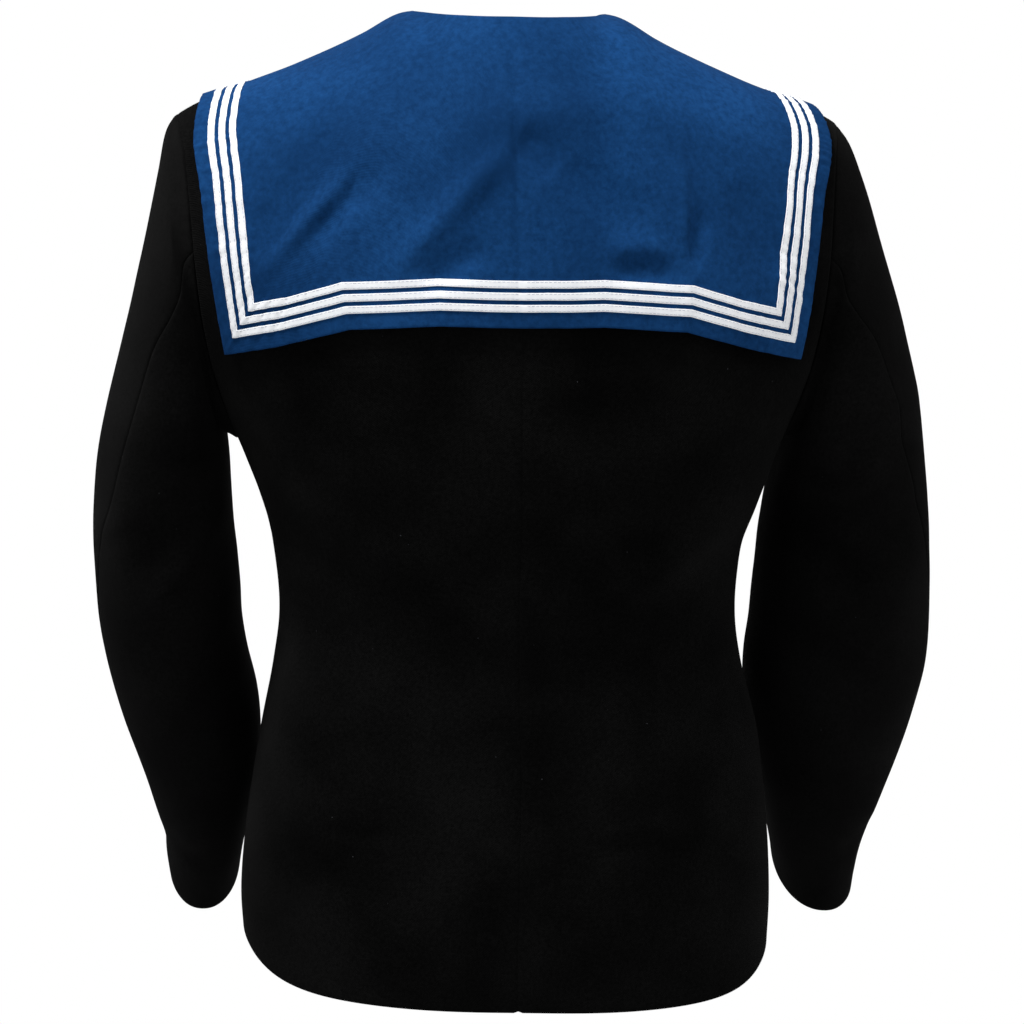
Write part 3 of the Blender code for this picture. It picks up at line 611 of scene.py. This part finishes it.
def halfPanel(sign, side):
    shares = panelShares()
    points = np.concatenate([lowerPanel(side, shares), upperPanel(side, shares)])
    join, reach = bodyPanels["rowsBelow"], bodyPanels["joinReach"]
    for _ in range(bodyPanels["joinEasing"]):
        around = points[join - reach:join + reach]
        around[1:-1] = (around[:-2] + 2 * around[1:-1] + around[2:]) / 4
    height = points[..., 2].copy()
    points[..., 0] = sign * points[..., 0] + smoothColumn(bodyForm["rings"], 5, height)
    points[..., 2] += bodyForm["hemTilt"] * hemFade(height) * points[..., 0]
    points = seamOpened(points, side == "back", True, True)
    normals = gridNormals(points)
    moved = foldHeight(bodyPanels["folds"], side, points)
    moved = moved + bodyPanels["softness"] * cloudyNoise(points * [1, 1, 0.7], bodyPanels["softSize"], 3.0)
    moved = moved - edgeDip(points, side == "back", True, True)
    points = points + normals * moved[..., None]
    hem = np.clip((points[..., 2] - points[:1, :, 2]) / bodyForm["hemDepth"], 0, 1)
    wall = bodyForm["wall"] + (bodyForm["hemWall"] - bodyForm["wall"]) * easedStep((1 - hem) / 0.1)
    turn = seamTurn(wall, side == "back", True, 0)
    return patch(points, gridNormals(points), wall, turn, flip=sign < 0)


def seamOpened(points, first, last, top):
    # moves the edges back so that the round turned edges of two sewn panels just press together
    points = points.copy()
    gap = bodyForm["seamTurn"] - bodyForm["seamLap"]
    if first:
        points[:, 0] += unit(points[:, 1] - points[:, 0]) * gap
    if last:
        points[:, -1] += unit(points[:, -2] - points[:, -1]) * gap
    if top:
        points[-1] += unit(points[-2] - points[-1]) * gap
    return points


def makeBody():
    for name, sign, node in (("backLeft", 1, "back_left"), ("backRight", -1, "back_right")):
        half = halfPanel(sign, "back")
        fitted(clothShell(name, [half], wool), [node], [half["points"]])
    halves = [halfPanel(sign, "front") for sign in (1, -1)]
    fitted(clothShell("frontPanel", halves, wool), ["front"], [half["points"] for half in halves])
    print("body panels made")


makeBody()


# Sleeves

sleeves = {
    "rowsPerRing": 12,
    "columnsPerStep": 7,
    "topSteps": 16,
    "underSteps": 8,
    "frontSeamStep": 3,
    "square": 2.15,
    "frontSeam": -113,
    "cuffDepth": 0.022,
    "softSize": 0.05,
    "left": [
        # outerX, outerZ, innerX, innerZ, midY, halfDepth, tip, seam
        (0.2222, -0.066, 0.1900, -0.263, -0.003, 0.059, 0, 79),
        (0.2275, -0.090, 0.1890, -0.273, -0.004, 0.063, 0, 79),
        (0.2350, -0.122, 0.1880, -0.286, -0.005, 0.065, 1, 72),
        (0.2460, -0.162, 0.1875, -0.300, -0.007, 0.066, 2, 62),
        (0.2572, -0.205, 0.1870, -0.316, -0.010, 0.066, 4, 56),
        (0.2692, -0.248, 0.1865, -0.334, -0.014, 0.065, 5, 52),
        (0.2787, -0.292, 0.1855, -0.354, -0.019, 0.064, 7, 46),
        (0.2827, -0.338, 0.1845, -0.378, -0.025, 0.063, 9, 30),
        (0.2827, -0.383, 0.1840, -0.404, -0.033, 0.062, 12, 20),
        (0.2797, -0.423, 0.1805, -0.434, -0.043, 0.061, 15, 14),
        (0.2731, -0.463, 0.1755, -0.468, -0.055, 0.060, 18, 12),
        (0.2640, -0.500, 0.1755, -0.504, -0.067, 0.059, 20, 12),
        (0.2560, -0.536, 0.1810, -0.540, -0.079, 0.057, 21, 14),
        (0.2490, -0.570, 0.1880, -0.574, -0.091, 0.055, 22, 16),
        (0.2485, -0.592, 0.1920, -0.594, -0.098, 0.054, 22, 18),
        (0.2470, -0.608, 0.1945, -0.610, -0.103, 0.054, 22, 20),
    ],
    "right": [
        (0.2245, -0.066, 0.1900, -0.263, -0.003, 0.059, 0, 79),
        (0.2337, -0.088, 0.1880, -0.273, -0.005, 0.062, 0, 79),
        (0.2438, -0.116, 0.1850, -0.284, -0.007, 0.064, 1, 72),
        (0.2564, -0.152, 0.1820, -0.296, -0.010, 0.064, 2, 62),
        (0.2694, -0.192, 0.1795, -0.310, -0.013, 0.063, 3, 56),
        (0.2816, -0.236, 0.1775, -0.326, -0.017, 0.061, 5, 52),
        (0.2896, -0.284, 0.1755, -0.346, -0.022, 0.059, 7, 46),
        (0.2961, -0.332, 0.1745, -0.372, -0.028, 0.057, 9, 30),
        (0.3011, -0.380, 0.1740, -0.404, -0.036, 0.055, 11, 20),
        (0.3034, -0.427, 0.1725, -0.434, -0.046, 0.053, 13, 14),
        (0.2987, -0.470, 0.1755, -0.470, -0.058, 0.052, 16, 12),
        (0.2910, -0.509, 0.1830, -0.506, -0.070, 0.052, 18, 12),
        (0.2821, -0.546, 0.1915, -0.542, -0.082, 0.052, 20, 14),
        (0.2718, -0.580, 0.2000, -0.577, -0.092, 0.052, 21, 16),
        (0.2690, -0.603, 0.2055, -0.600, -0.100, 0.052, 22, 18),
        (0.2682, -0.620, 0.2085, -0.617, -0.105, 0.052, 22, 20),
    ],
    "folds": [
        # side, line of x and z, halfWidth, height
        ("back", [(0.185, -0.280), (0.225, -0.325), (0.262, -0.365)], 0.013, -0.0045),
        ("back", [(0.185, -0.300), (0.215, -0.345), (0.245, -0.385)], 0.009, 0.0024),
        ("back", [(0.186, -0.440), (0.190, -0.400), (0.196, -0.370)], 0.010, -0.0026),
        ("back", [(0.200, -0.500), (0.196, -0.455), (0.200, -0.410)], 0.010, 0.0018),
        ("back", [(0.250, -0.560), (0.235, -0.578), (0.215, -0.590)], 0.009, -0.0030),
        ("back", [(0.252, -0.310), (0.272, -0.325), (0.283, -0.330)], 0.009, 0.0022),
        ("front", [(0.190, -0.345), (0.230, -0.325), (0.270, -0.322)], 0.014, -0.0046),
        ("front", [(0.186, -0.392), (0.230, -0.372), (0.268, -0.380)], 0.013, -0.0046),
        ("front", [(0.186, -0.370), (0.226, -0.350), (0.262, -0.352)], 0.010, 0.0026),
        ("front", [(0.184, -0.440), (0.220, -0.420), (0.255, -0.430)], 0.013, -0.0036),
        ("front", [(0.210, -0.470), (0.205, -0.530), (0.212, -0.580)], 0.012, -0.0024),
        ("back", [(-0.200, -0.272), (-0.240, -0.262), (-0.285, -0.262)], 0.012, -0.0036),
        ("back", [(-0.190, -0.292), (-0.240, -0.285), (-0.290, -0.300)], 0.009, 0.0026),
        ("back", [(-0.178, -0.285), (-0.215, -0.312), (-0.290, -0.345)], 0.013, -0.0046),
        ("back", [(-0.230, -0.355), (-0.260, -0.362), (-0.292, -0.366)], 0.012, 0.0024),
        ("back", [(-0.185, -0.390), (-0.215, -0.400), (-0.250, -0.420)], 0.012, -0.0022),
        ("back", [(-0.278, -0.560), (-0.262, -0.580), (-0.245, -0.592)], 0.009, -0.0030),
        ("back", [(-0.235, -0.240), (-0.262, -0.232), (-0.285, -0.236)], 0.010, 0.0022),
        ("front", [(-0.185, -0.355), (-0.235, -0.340), (-0.290, -0.350)], 0.014, -0.0046),
        ("front", [(-0.190, -0.412), (-0.240, -0.400), (-0.285, -0.412)], 0.013, -0.0042),
        ("front", [(-0.185, -0.382), (-0.235, -0.370), (-0.285, -0.378)], 0.010, 0.0026),
        ("front", [(-0.225, -0.470), (-0.232, -0.530), (-0.228, -0.580)], 0.012, -0.0024),
    ],
}


def armholeEdge(sign, steps):
    # steps round the armhole: 0 at the armpit, up the back to 12 on the shoulder, then down the front
    share = np.mod(steps, 24.0) / 12
    onBack = share <= 1
    rise = np.where(onBack, share, 2 - share)
    x = smoothColumn(bodyForm["dome"], 2, rise)
    points = np.where(onBack[:, None], domePoints("back", rise, x), domePoints("front", rise, x))
    normals = np.where(onBack[:, None], domeNormals("back", rise, x), domeNormals("front", rise, x))
    return points * [sign, 1, 1], normals * [sign, 1, 1]


def sleeveRing(sign, row, columns):
    outerX, outerZ, innerX, innerZ, midY, halfDepth, tip, seam = row
    last = sleeves["frontSeam"] + 360
    onTop = np.minimum(columns / sleeves["topSteps"], 1)
    onUnder = np.maximum(columns - sleeves["topSteps"], 0) / sleeves["underSteps"]
    angle = np.radians(sleeves["frontSeam"] + (seam - sleeves["frontSeam"]) * onTop + (last - seam) * onUnder)
    outer, inner = np.array([sign * outerX, midY, outerZ]), np.array([sign * innerX, midY, innerZ])
    deep = halfDepth * np.array([0, math.cos(math.radians(tip)), -math.sin(math.radians(tip))])
    power = 2 / sleeves["square"]
    c, s = np.cos(angle), np.sin(angle)
    c, s = np.sign(c) * np.abs(c) ** power, np.sign(s) * np.abs(s) ** power
    return (outer + inner) / 2 + c[:, None] * (outer - inner) / 2 + s[:, None] * deep


def throughRings(rings, at):
    # a smooth curve through the rings, column by column
    rings = np.array(rings)
    padded = np.concatenate([2 * rings[:1] - rings[1:2], rings, 2 * rings[-1:] - rings[-2:-1]])
    i = np.minimum(at.astype(int), len(rings) - 2)
    t = (at - i)[:, None, None]
    a, b, c, d = (padded[i + k] for k in range(4))
    return 0.5 * (2 * b + (c - a) * t + (2 * a - 5 * b + 4 * c - d) * t**2 + (3 * b - 3 * c + d - a) * t**3)


def sleeveGrid(sign, rows, columns):
    edge, edgeNormals = armholeEdge(sign, 24 - sleeves["frontSeamStep"] - columns)
    away = unit(np.cross(np.gradient(edge, axis=0), edgeNormals))
    if np.mean(away[:, 0]) * sign < 0:
        away = -away
    edge = edge + away * bodyForm["seamGap"]
    rings = [edge] + [sleeveRing(sign, row, columns) for row in rows]
    at = np.linspace(0, len(rings) - 1, sleeves["rowsPerRing"] * (len(rings) - 1) + 1)
    return throughRings(rings, at)


def sleevePiece(sign, rows, columns):
    grid = sleeveGrid(sign, rows, columns)
    whole = sleeveGrid(sign, rows, np.arange(0, 24, 0.5))
    middle = whole.mean(axis=1, keepdims=True)
    grid = seamOpened(grid, True, True, False)
    normals = gridNormals(grid, middle)
    folds = foldsBySide(sleeves["folds"], grid[..., 1] > middle[..., 1], grid)
    moved = folds * np.abs(normals[..., 1])
    moved = moved + bodyPanels["softness"] * cloudyNoise(grid, sleeves["softSize"], 11.0 * sign)
    moved = moved - edgeDip(grid[::-1], True, True, True)[::-1]
    points = grid + normals * moved[..., None]
    left = clothLengths(points)[1]
    cuff = left[-1:] - left
    thick = easedStep((sleeves["cuffDepth"] - cuff) / 0.002)
    wall = bodyForm["wall"] + (bodyForm["hemWall"] - bodyForm["wall"]) * thick
    return patch(points, gridNormals(points, middle), wall, seamTurn(wall, True, True, -1))


def makeSleeves():
    fine = 1 / sleeves["columnsPerStep"]
    split = sleeves["topSteps"]
    for label, sign in (("left", 1), ("right", -1)):
        for name, start, end in (("topsleeve", 0, split), ("undersleeve", split, 24)):
            steps = closeAtEnds(int((end - start) / fine), 0.3 / (end - start))
            piece = sleevePiece(sign, sleeves[label], start + steps * (end - start))
            made = clothShell(name + label.capitalize(), [piece], wool)
            fitted(made, [name + "_" + label], [piece["points"]])
    print("sleeves made")


makeSleeves()


# Collar, cut flat and draped over the dome

collar = {
    "wall": 0.0014,
    "gap": 0.0003,
    "neckHalfWidth": 0.068,
    "foldHeight": 0.0105,
    "lift": 0.0016,
    "flapLift": 0.0050,
    "flapTop": -0.02,
    "flapHeight": 0.15,
    "innerRow": 0.0330,
    "levelHeight": -0.170,
    "levelFrom": 0.10,
    "plainRows": 46,
    "plainCrowding": 1.25,
    "tipMargin": 0.0015,
    "tipGap": 0.0024,
    "rowGap": 0.0005,
    "cornerShare": 0.72,
    "veeTaper": 0.6,
    "cornerStop": 4,
    "mitreStops": (2, 5),
    "stationsPerStep": 10,
    "easing": 60,
    "edge": [
        # x, z, side, steps from the row above, shift towards the wearer's left
        (0.0000, -0.1720, "back", 0, 0.0000),
        (0.0500, -0.1715, "back", 3, 0.0000),
        (0.1030, -0.1752, "back", 3, 0.0015),
        (0.1480, -0.1884, "back", 2, 0.0010),
        (0.1788, -0.1965, "back", 2, 0.0014),
        (0.1907, -0.1250, "back", 3, 0.0008),
        (0.2006, -0.0750, "back", 3, -0.0009),
        (0.2016, -0.0620, "back", 2, -0.0015),
        (0.1975, -0.0460, "ridge", 2, -0.0010),
        (0.1860, -0.0880, "front", 3, 0.0000),
        (0.1320, -0.1500, "front", 3, 0.0000),
        (0.0600, -0.1920, "front", 3, 0.0000),
        (0.0100, -0.2170, "front", 2, 0.0000),
    ],
    "tapes": {
        # near and far edge, metres in from the collar's edge; each turned edge adds 0.3 mm
        "tapeOuter": ("tape_outer", 0.0101, 0.0140),
        "tapeMiddle": ("tape_middle", 0.0173, 0.0212),
        "tapeInner": ("tape_inner", 0.0245, 0.0284),
    },
    "tapeWall": 0.0007,
    "tapeGap": 0.0002,
    "tapeEndMargin": 0.0030,
    "borderRowStep": 0.0012,
    "leastLift": 0.0002,
    "liftSharpness": 2500,
    "softness": 0.0004,
    "softSize": 0.03,
    "foldShare": 1.3,
    "folds": [
        # side, line of x and z, halfWidth, height
        ("back", [(0.003, 0.004), (0.002, -0.090), (0.002, -0.175)], 0.0030, -0.0009),
        ("back", [(0.106, -0.022), (0.106, -0.090), (0.106, -0.180)], 0.0034, 0.0016),
        ("back", [(-0.100, -0.055), (-0.101, -0.110), (-0.102, -0.180)], 0.0034, 0.0016),
        ("back", [(0.003, -0.058), (-0.010, -0.066), (-0.024, -0.080)], 0.009, -0.0036),
        ("back", [(-0.022, -0.074), (-0.050, -0.092), (-0.082, -0.112)], 0.014, -0.0030),
        ("back", [(0.004, -0.062), (0.040, -0.100), (0.077, -0.140)], 0.008, 0.0040),
        ("back", [(0.018, -0.122), (0.040, -0.134), (0.064, -0.146)], 0.009, -0.0034),
        ("back", [(0.082, -0.078), (0.108, -0.100), (0.134, -0.128)], 0.008, -0.0044),
        ("back", [(0.098, -0.082), (0.132, -0.115), (0.160, -0.146)], 0.006, 0.0036),
        ("back", [(0.110, -0.055), (0.131, -0.090), (0.156, -0.124)], 0.011, -0.0036),
        ("back", [(0.155, -0.100), (0.150, -0.120), (0.146, -0.140)], 0.011, -0.0034),
        ("back", [(0.061, -0.064), (0.003, -0.046), (-0.070, -0.037), (-0.122, -0.055), (-0.162, -0.070)],
         0.015, 0.0022),
        ("back", [(-0.049, -0.126), (-0.070, -0.124), (-0.092, -0.126)], 0.006, 0.0024),
        ("back", [(-0.052, -0.138), (-0.075, -0.136), (-0.098, -0.139)], 0.007, -0.0026),
        ("back", [(-0.117, -0.098), (-0.108, -0.118), (-0.102, -0.140)], 0.006, -0.0028),
        ("back", [(-0.131, -0.084), (-0.148, -0.114), (-0.162, -0.148)], 0.014, -0.0034),
        ("front", [(0.120, -0.060), (0.100, -0.105), (0.060, -0.150)], 0.012, 0.0020),
        ("front", [(-0.120, -0.062), (-0.096, -0.110), (-0.058, -0.152)], 0.012, 0.0020),
        ("front", [(0.136, -0.070), (0.120, -0.112), (0.084, -0.154)], 0.009, -0.0022),
        ("front", [(-0.132, -0.066), (-0.112, -0.116), (-0.078, -0.158)], 0.009, -0.0018),
    ],
}


def drapeTable():
    # the dome from the back armpits over the shoulder to the front, with lengths along the cloth; behind,
    # the cloth's rows are pulled level
    rises = np.linspace(0, 2, 241)
    xs = np.linspace(0, 0.23, 116)
    points = domePoints("back", rises[:, None], xs[None, :])
    across, along = clothLengths(points)
    along = along - along[len(rises) // 2]
    levelRise = riseAt(xs, collar["levelHeight"])
    level = np.array([np.interp(rise, rises, column) for rise, column in zip(levelRise, along.T)])
    deep = np.clip(-along / collar["levelFrom"], 0, 1)
    return rises, xs, across, along + (level[0] - level) * deep * (3 - deep**2) / 2


drape = drapeTable()


def flatPlace(x, rise):
    rises, xs, across, along = drape
    p = [np.interp(x, xs, row) for row in across]
    q = [np.interp(x, xs, row) for row in along]
    return np.array([np.interp(rise, rises, p), np.interp(rise, rises, q)])


def stopPlace(x, z, side):
    rise = float(riseAt(x, z))
    return flatPlace(x, {"back": rise, "ridge": 1.0, "front": 2 - rise}[side])


def draped(p, q):
    # the rise and x where places of the flat cloth come to lie
    rises, xs, across, along = drape
    xRows = np.array([np.interp(p, row, xs) for row in across])
    qRows = np.array([np.interp(x, xs, row) for x, row in zip(xRows, along)])
    i = np.clip(np.sum(qRows < q, axis=0) - 1, 0, len(rises) - 2)
    one = np.arange(len(p))
    t = (q - qRows[i, one]) / (qRows[i + 1, one] - qRows[i, one])
    return rises[i] + t * (rises[1] - rises[0]), xRows[i, one] + t * (xRows[i + 1, one] - xRows[i, one])


def collarLines(sign):
    # the outer edge and the folded neck edge, station by station, in the flat cloth
    stops = np.array([stopPlace(x + sign * shift, z, side) for x, z, side, _, shift in collar["edge"]])
    counts = np.array([row[3] * collar["stationsPerStep"] for row in collar["edge"][1:]])
    station = np.concatenate([[0], np.cumsum(counts)])
    corner, ridge = station[collar["cornerStop"]], station[[row[2] for row in collar["edge"]].index("ridge")]
    edge = onLine(np.arange(station[-1] + 1), station, stops)
    for _ in range(collar["easing"]):
        eased = (edge[:-2] + 2 * edge[1:-1] + edge[2:]) / 4
        edge[corner + 1:-1] = eased[corner:]
    fold = []
    for i in range(len(edge)):
        if i <= ridge:
            past = max(0, i - corner) / (ridge - corner)
            share = collar["cornerShare"] * min(1, i / corner) + (1 - collar["cornerShare"]) * past
            x = collar["neckHalfWidth"] * math.sin(share * math.pi / 2)
            fold.append(flatPlace(x, float(riseAt(x, collar["foldHeight"])) if i < ridge else 1.0))
        else:
            share = (i - ridge) / (len(edge) - 1 - ridge)
            rise = 1 - (1 - neckForm["vRise"]) * share
            cover = (neckForm["halfWidth"] - collar["neckHalfWidth"]) * (1 - collar["veeTaper"] * share)
            fold.append(flatPlace(max(float(veeX(rise)) - cover, collar["tipGap"] / 2), 2 - rise))
    start, end = (station[k] for k in collar["mitreStops"])
    return edge, np.array(fold), (start, corner, end)


def inwardSteps(line, mitre):
    # the step at each station that moves the edge inwards by one, mitred at the corner; the last one goes
    # straight up beside the middle of the front
    start, corner, end = mitre
    along = unit(np.diff(line, axis=0))
    normals = np.stack([-along[:, 1], along[:, 0]], axis=1)
    before, after = np.vstack([normals[:1], normals]), np.vstack([normals, normals[-1:]])
    steps = (before + after) / (1 + np.sum(before * after, axis=1, keepdims=True))
    lengths = lineLengths(line)
    bottom, side, fold = along[corner - 1], along[corner], steps[corner].copy()
    share = ((lengths - lengths[start]) / (lengths[corner] - lengths[start]))[start:corner, None]
    steps[start:corner] += bottom * np.dot(fold, bottom) * share
    share = ((lengths[end] - lengths) / (lengths[end] - lengths[corner]))[corner + 1:end, None]
    steps[corner + 1:end] += side * np.dot(fold, side) * share
    steps[0] = (0.0, 1.0)
    tip = collar["stationsPerStep"]
    share = np.linspace(0, 1, tip + 1)[1:, None]
    steps[-tip:] = steps[-tip:] * (1 - share) + np.array([0.0, 1 / along[-1, 0]]) * share
    return steps


def borderRows():
    # rows across the border, with one along each edge of each tape
    stops = [collar["innerRow"]]
    for _, near, far in sorted(collar["tapes"].values(), key=lambda t: -t[1]):
        stops += [far, near]
    stops.append(collar["wall"] / 2)
    rows, order = [], []
    for k, (a, b) in enumerate(zip(stops, stops[1:])):
        steps = max(2, round((a - b) / collar["borderRowStep"]))
        rows += [a + (b - a) * i / steps for i in range(steps)]
        order += [k + i / steps for i in range(steps)]
    return np.array(rows + [stops[-1]]), np.array(order + [len(stops) - 1.0])


sewing = {
    # what the sewing does to the border: how far the rows wander and how deep the cross puckers are
    "wander": 0.0002,
    "wanderLength": 0.016,
    "wanderFade": 0.03,
    "pucker": 0.0009,
    "puckerLength": 0.0056,
    "puckerRows": 0.020,
    "puckerFade": 0.02,
    "edgeFade": 0.006,
    "sideFade": 0.05,
    "bottomShare": 0.25,
}


def collarHalf(sign):
    edge, fold, mitre = collarLines(sign)
    inward = inwardSteps(edge, mitre)
    width = np.linalg.norm(edge - fold, axis=1) / np.linalg.norm(inward, axis=1)
    rows, order = borderRows()
    lengths = lineLengths(edge)
    places = np.stack([lengths, 0 * lengths + sign, 0 * lengths], axis=-1)
    wander = sewing["wander"] * cloudyNoise(places, sewing["wanderLength"], 21.0)
    wander = wander * easedStep(lengths / sewing["wanderFade"])
    allowed = width - collar["tipMargin"]
    reach = np.minimum(rows[:, None] + wander, allowed[None, :] - collar["rowGap"] * order[:, None])
    border = edge[None] + inward[None] * reach[..., None]
    shares = (np.arange(collar["plainRows"]) / collar["plainRows"]) ** collar["plainCrowding"]
    plain = fold[None] + (border[:1] - fold[None]) * shares[:, None, None]
    flat = np.concatenate([plain, border])
    rise, x = draped(np.abs(flat[..., 0]).reshape(-1), flat[..., 1].reshape(-1))
    rise, x = rise.reshape(flat.shape[:2]), x.reshape(flat.shape[:2])
    points = domePoints("back", rise, x) * [sign, 1, 1]
    normals = gridNormals(points)
    onBack = rise <= 1
    share = easedStep((collar["flapTop"] - points[..., 2]) / collar["flapHeight"])
    lift = collar["lift"] + np.where(onBack, (collar["flapLift"] - collar["lift"]) * share, 0)
    lift += collar["foldShare"] * foldsBySide(collar["folds"], onBack, points)
    lift += collar["softness"] * cloudyNoise(points, collar["softSize"], 5.0)
    lift[collar["plainRows"]:] += puckers(sign, lengths, rows, mitre)
    # a soft lower limit, so that no fold sinks into the wool below
    lift = collar["leastLift"] + np.log1p(np.exp(lift * collar["liftSharpness"])) / collar["liftSharpness"]
    return points + normals * (collar["gap"] + lift + collar["wall"])[..., None], rows, width


def puckers(sign, lengths, rows, mitre):
    # small cross puckers that the tapes' sewing draws into the border, uneven in spacing and depth
    across = np.broadcast_to(lengths[None, :], (len(rows), len(lengths)))
    inRows = np.broadcast_to(rows[:, None], across.shape)
    places = [across / sewing["puckerLength"], inRows / sewing["puckerRows"], 0 * across + 7.0 * sign]
    wave = cloudyNoise(np.stack(places, axis=-1), 1.0, 31.0)
    wave = wave * easedStep((collar["innerRow"] - inRows) / sewing["edgeFade"])
    least = sewing["bottomShare"]
    onSide = easedStep((lengths - lengths[mitre[0]]) / sewing["sideFade"]) * (1 - least) + least
    return sewing["pucker"] * wave * onSide * easedStep(lengths / sewing["puckerFade"])


stitches = {
    "length": 0.0019,
    "pitch": 0.0027,
    "width": 0.00028,
    "height": 0.00012,
    "depth": 0.0002,
    "fromEdge": 0.00055,
}


def stitched(name, tapes):
    # a row of short raised stitches along both edges of each tape
    points, faces = [], []
    for strip in sum(tapes.values(), []):
        grid, up = strip["points"], strip["normals"]
        share = stitches["fromEdge"] / np.linalg.norm(grid[-1] - grid[0], axis=1).mean()
        for near, far in ((0, -1), (-1, 0)):
            line = grid[near] + (grid[far] - grid[near]) * share
            along = lineLengths(line)
            for start in np.arange(stitches["pitch"], along[-1] - stitches["pitch"], stitches["pitch"]):
                ends = onLine([start, start + stitches["length"]], along, line)
                rise = unit(onLine(start, along, up[near]))
                across = unit(np.cross(ends[1] - ends[0], rise)) * stitches["width"] / 2
                first = len(points)
                top, foot = rise * stitches["height"], rise * stitches["depth"]
                for end in ends:
                    points += [end - across, end + top, end + across, end - foot]
                for k in range(4):
                    after = (k + 1) % 4
                    faces.append([first + k, first + after, first + 4 + after, first + 4 + k])
                faces += [[first + k for k in (3, 2, 1, 0)], [first + 4 + k for k in range(4)]]
    return meshObject(name, np.array(points), np.array(faces), thread)


def makeCollar():
    halves, tapes = [], {name: [] for name in collar["tapes"]}
    for sign in (1, -1):
        points, rows, width = collarHalf(sign)
        normals = gridNormals(points)
        halves.append(patch(points, normals, collar["wall"], flip=sign < 0))
        for name, (_, near, far) in collar["tapes"].items():
            inRow = (rows <= far + 1e-9) & (rows >= near - 1e-9)
            wide = width > far + collar["tipMargin"] + collar["tapeEndMargin"]
            last = len(wide) if wide.all() else int(np.argmin(wide))
            chosen = np.flatnonzero(inRow) + collar["plainRows"]
            base, up = points[chosen][:, :last], normals[chosen][:, :last]
            top = base + up * (collar["tapeGap"] + collar["tapeWall"])
            tapes[name].append(patch(top, up, collar["tapeWall"], flip=sign < 0))
    made = clothShell("sailorCollar", halves, cotton)
    fitted(made, ["collar"], [half["points"] for half in halves])
    fitted(stitched("tapeStitches", tapes), [])
    for name, strips in tapes.items():
        made = clothShell(name, strips, tape)
        fitted(made, [collar["tapes"][name][0]], [strip["points"] for strip in strips])
    print("collar and tapes made")


makeCollar()


# Camera, lights and floor

stage = {
    "cameraTurn": 4.0,
    "cameraDistance": 1.5,
    "cameraHeight": 0.06,
    "aim": (-0.002, 0.0, -0.318),
    "lens": 79.98,
    "floorHeight": -1.45,
    "floorSize": 14.0,
    "floorColour": "#f4f4f4",
    "worldStrength": 0.38,
    "lightAim": (0, 0, -0.25),
    "lights": [
        # name, place, size, power
        ("keyLight", (0.55, 0.40, 1.35), 0.5, 27),
        ("rimLight", (-1.4, 0.5, 0.9), 0.8, 5),
    ],
}


def makeStage():
    turn = math.radians(stage["cameraTurn"])
    data = bpy.data.cameras.new("camera")
    data.lens, data.sensor_width = stage["lens"], 36
    camera = placed("camera", data)
    distance = stage["cameraDistance"]
    camera.location = (distance * math.sin(turn), distance * math.cos(turn), stage["cameraHeight"])
    look = Vector(stage["aim"]) - camera.location
    camera.rotation_euler = look.to_track_quat("-Z", "Y").to_euler()
    bpy.context.scene.camera = camera
    floorMaterial, nodes, shader = newMaterial("pale painted floor")
    shader.inputs["Base Color"].default_value = linearColour(stage["floorColour"])
    shader.inputs["Roughness"].default_value = 0.9
    seen = addNode(nodes, "ShaderNodeLightPath").outputs["Is Camera Ray"]
    glow = addNode(nodes, "ShaderNodeEmission", {"Color": (1, 1, 1, 1), "Strength": 1.0}).outputs[0]
    mixed = addNode(nodes, "ShaderNodeMixShader", {0: seen, 1: shader.outputs[0], 2: glow}).outputs[0]
    floorMaterial.node_tree.links.new(mixed, nodes["Material Output"].inputs["Surface"])
    half = stage["floorSize"] / 2
    z = stage["floorHeight"]
    mesh = bpy.data.meshes.new("floor")
    corners = [(-half, -half, z), (half, -half, z), (half, half, z), (-half, half, z)]
    mesh.from_pydata(corners, [], [(0, 1, 2, 3)])
    mesh.materials.append(floorMaterial)
    placed("floor", mesh)
    world = bpy.data.worlds.new("studio")
    world.use_nodes = True
    nodes = world.node_tree.nodes
    # the camera sees plain white, as in the photo; the cloth is lit by less than that
    seen = addNode(nodes, "ShaderNodeLightPath").outputs["Is Camera Ray"]
    strength = addNode(nodes, "ShaderNodeMapRange", {
        "Value": seen, "To Min": stage["worldStrength"], "To Max": 1.0})
    background = nodes["Background"]
    background.inputs["Color"].default_value = (1, 1, 1, 1)
    world.node_tree.links.new(strength.outputs[0], background.inputs["Strength"])
    bpy.context.scene.world = world
    for name, place, size, power in stage["lights"]:
        light = bpy.data.lights.new(name, "AREA")
        light.size, light.energy = size, power
        lamp = placed(name, light)
        lamp.location = place
        lamp.rotation_euler = (Vector(stage["lightAim"]) - lamp.location).to_track_quat("-Z", "Y").to_euler()
    bpy.context.scene.view_settings.view_transform = "Standard"
    print("camera, lights and floor made")


makeStage()

print("cut of the cloth:", {name: [round(v, 3) for v in cut] for name, cut in clothMade.items()})
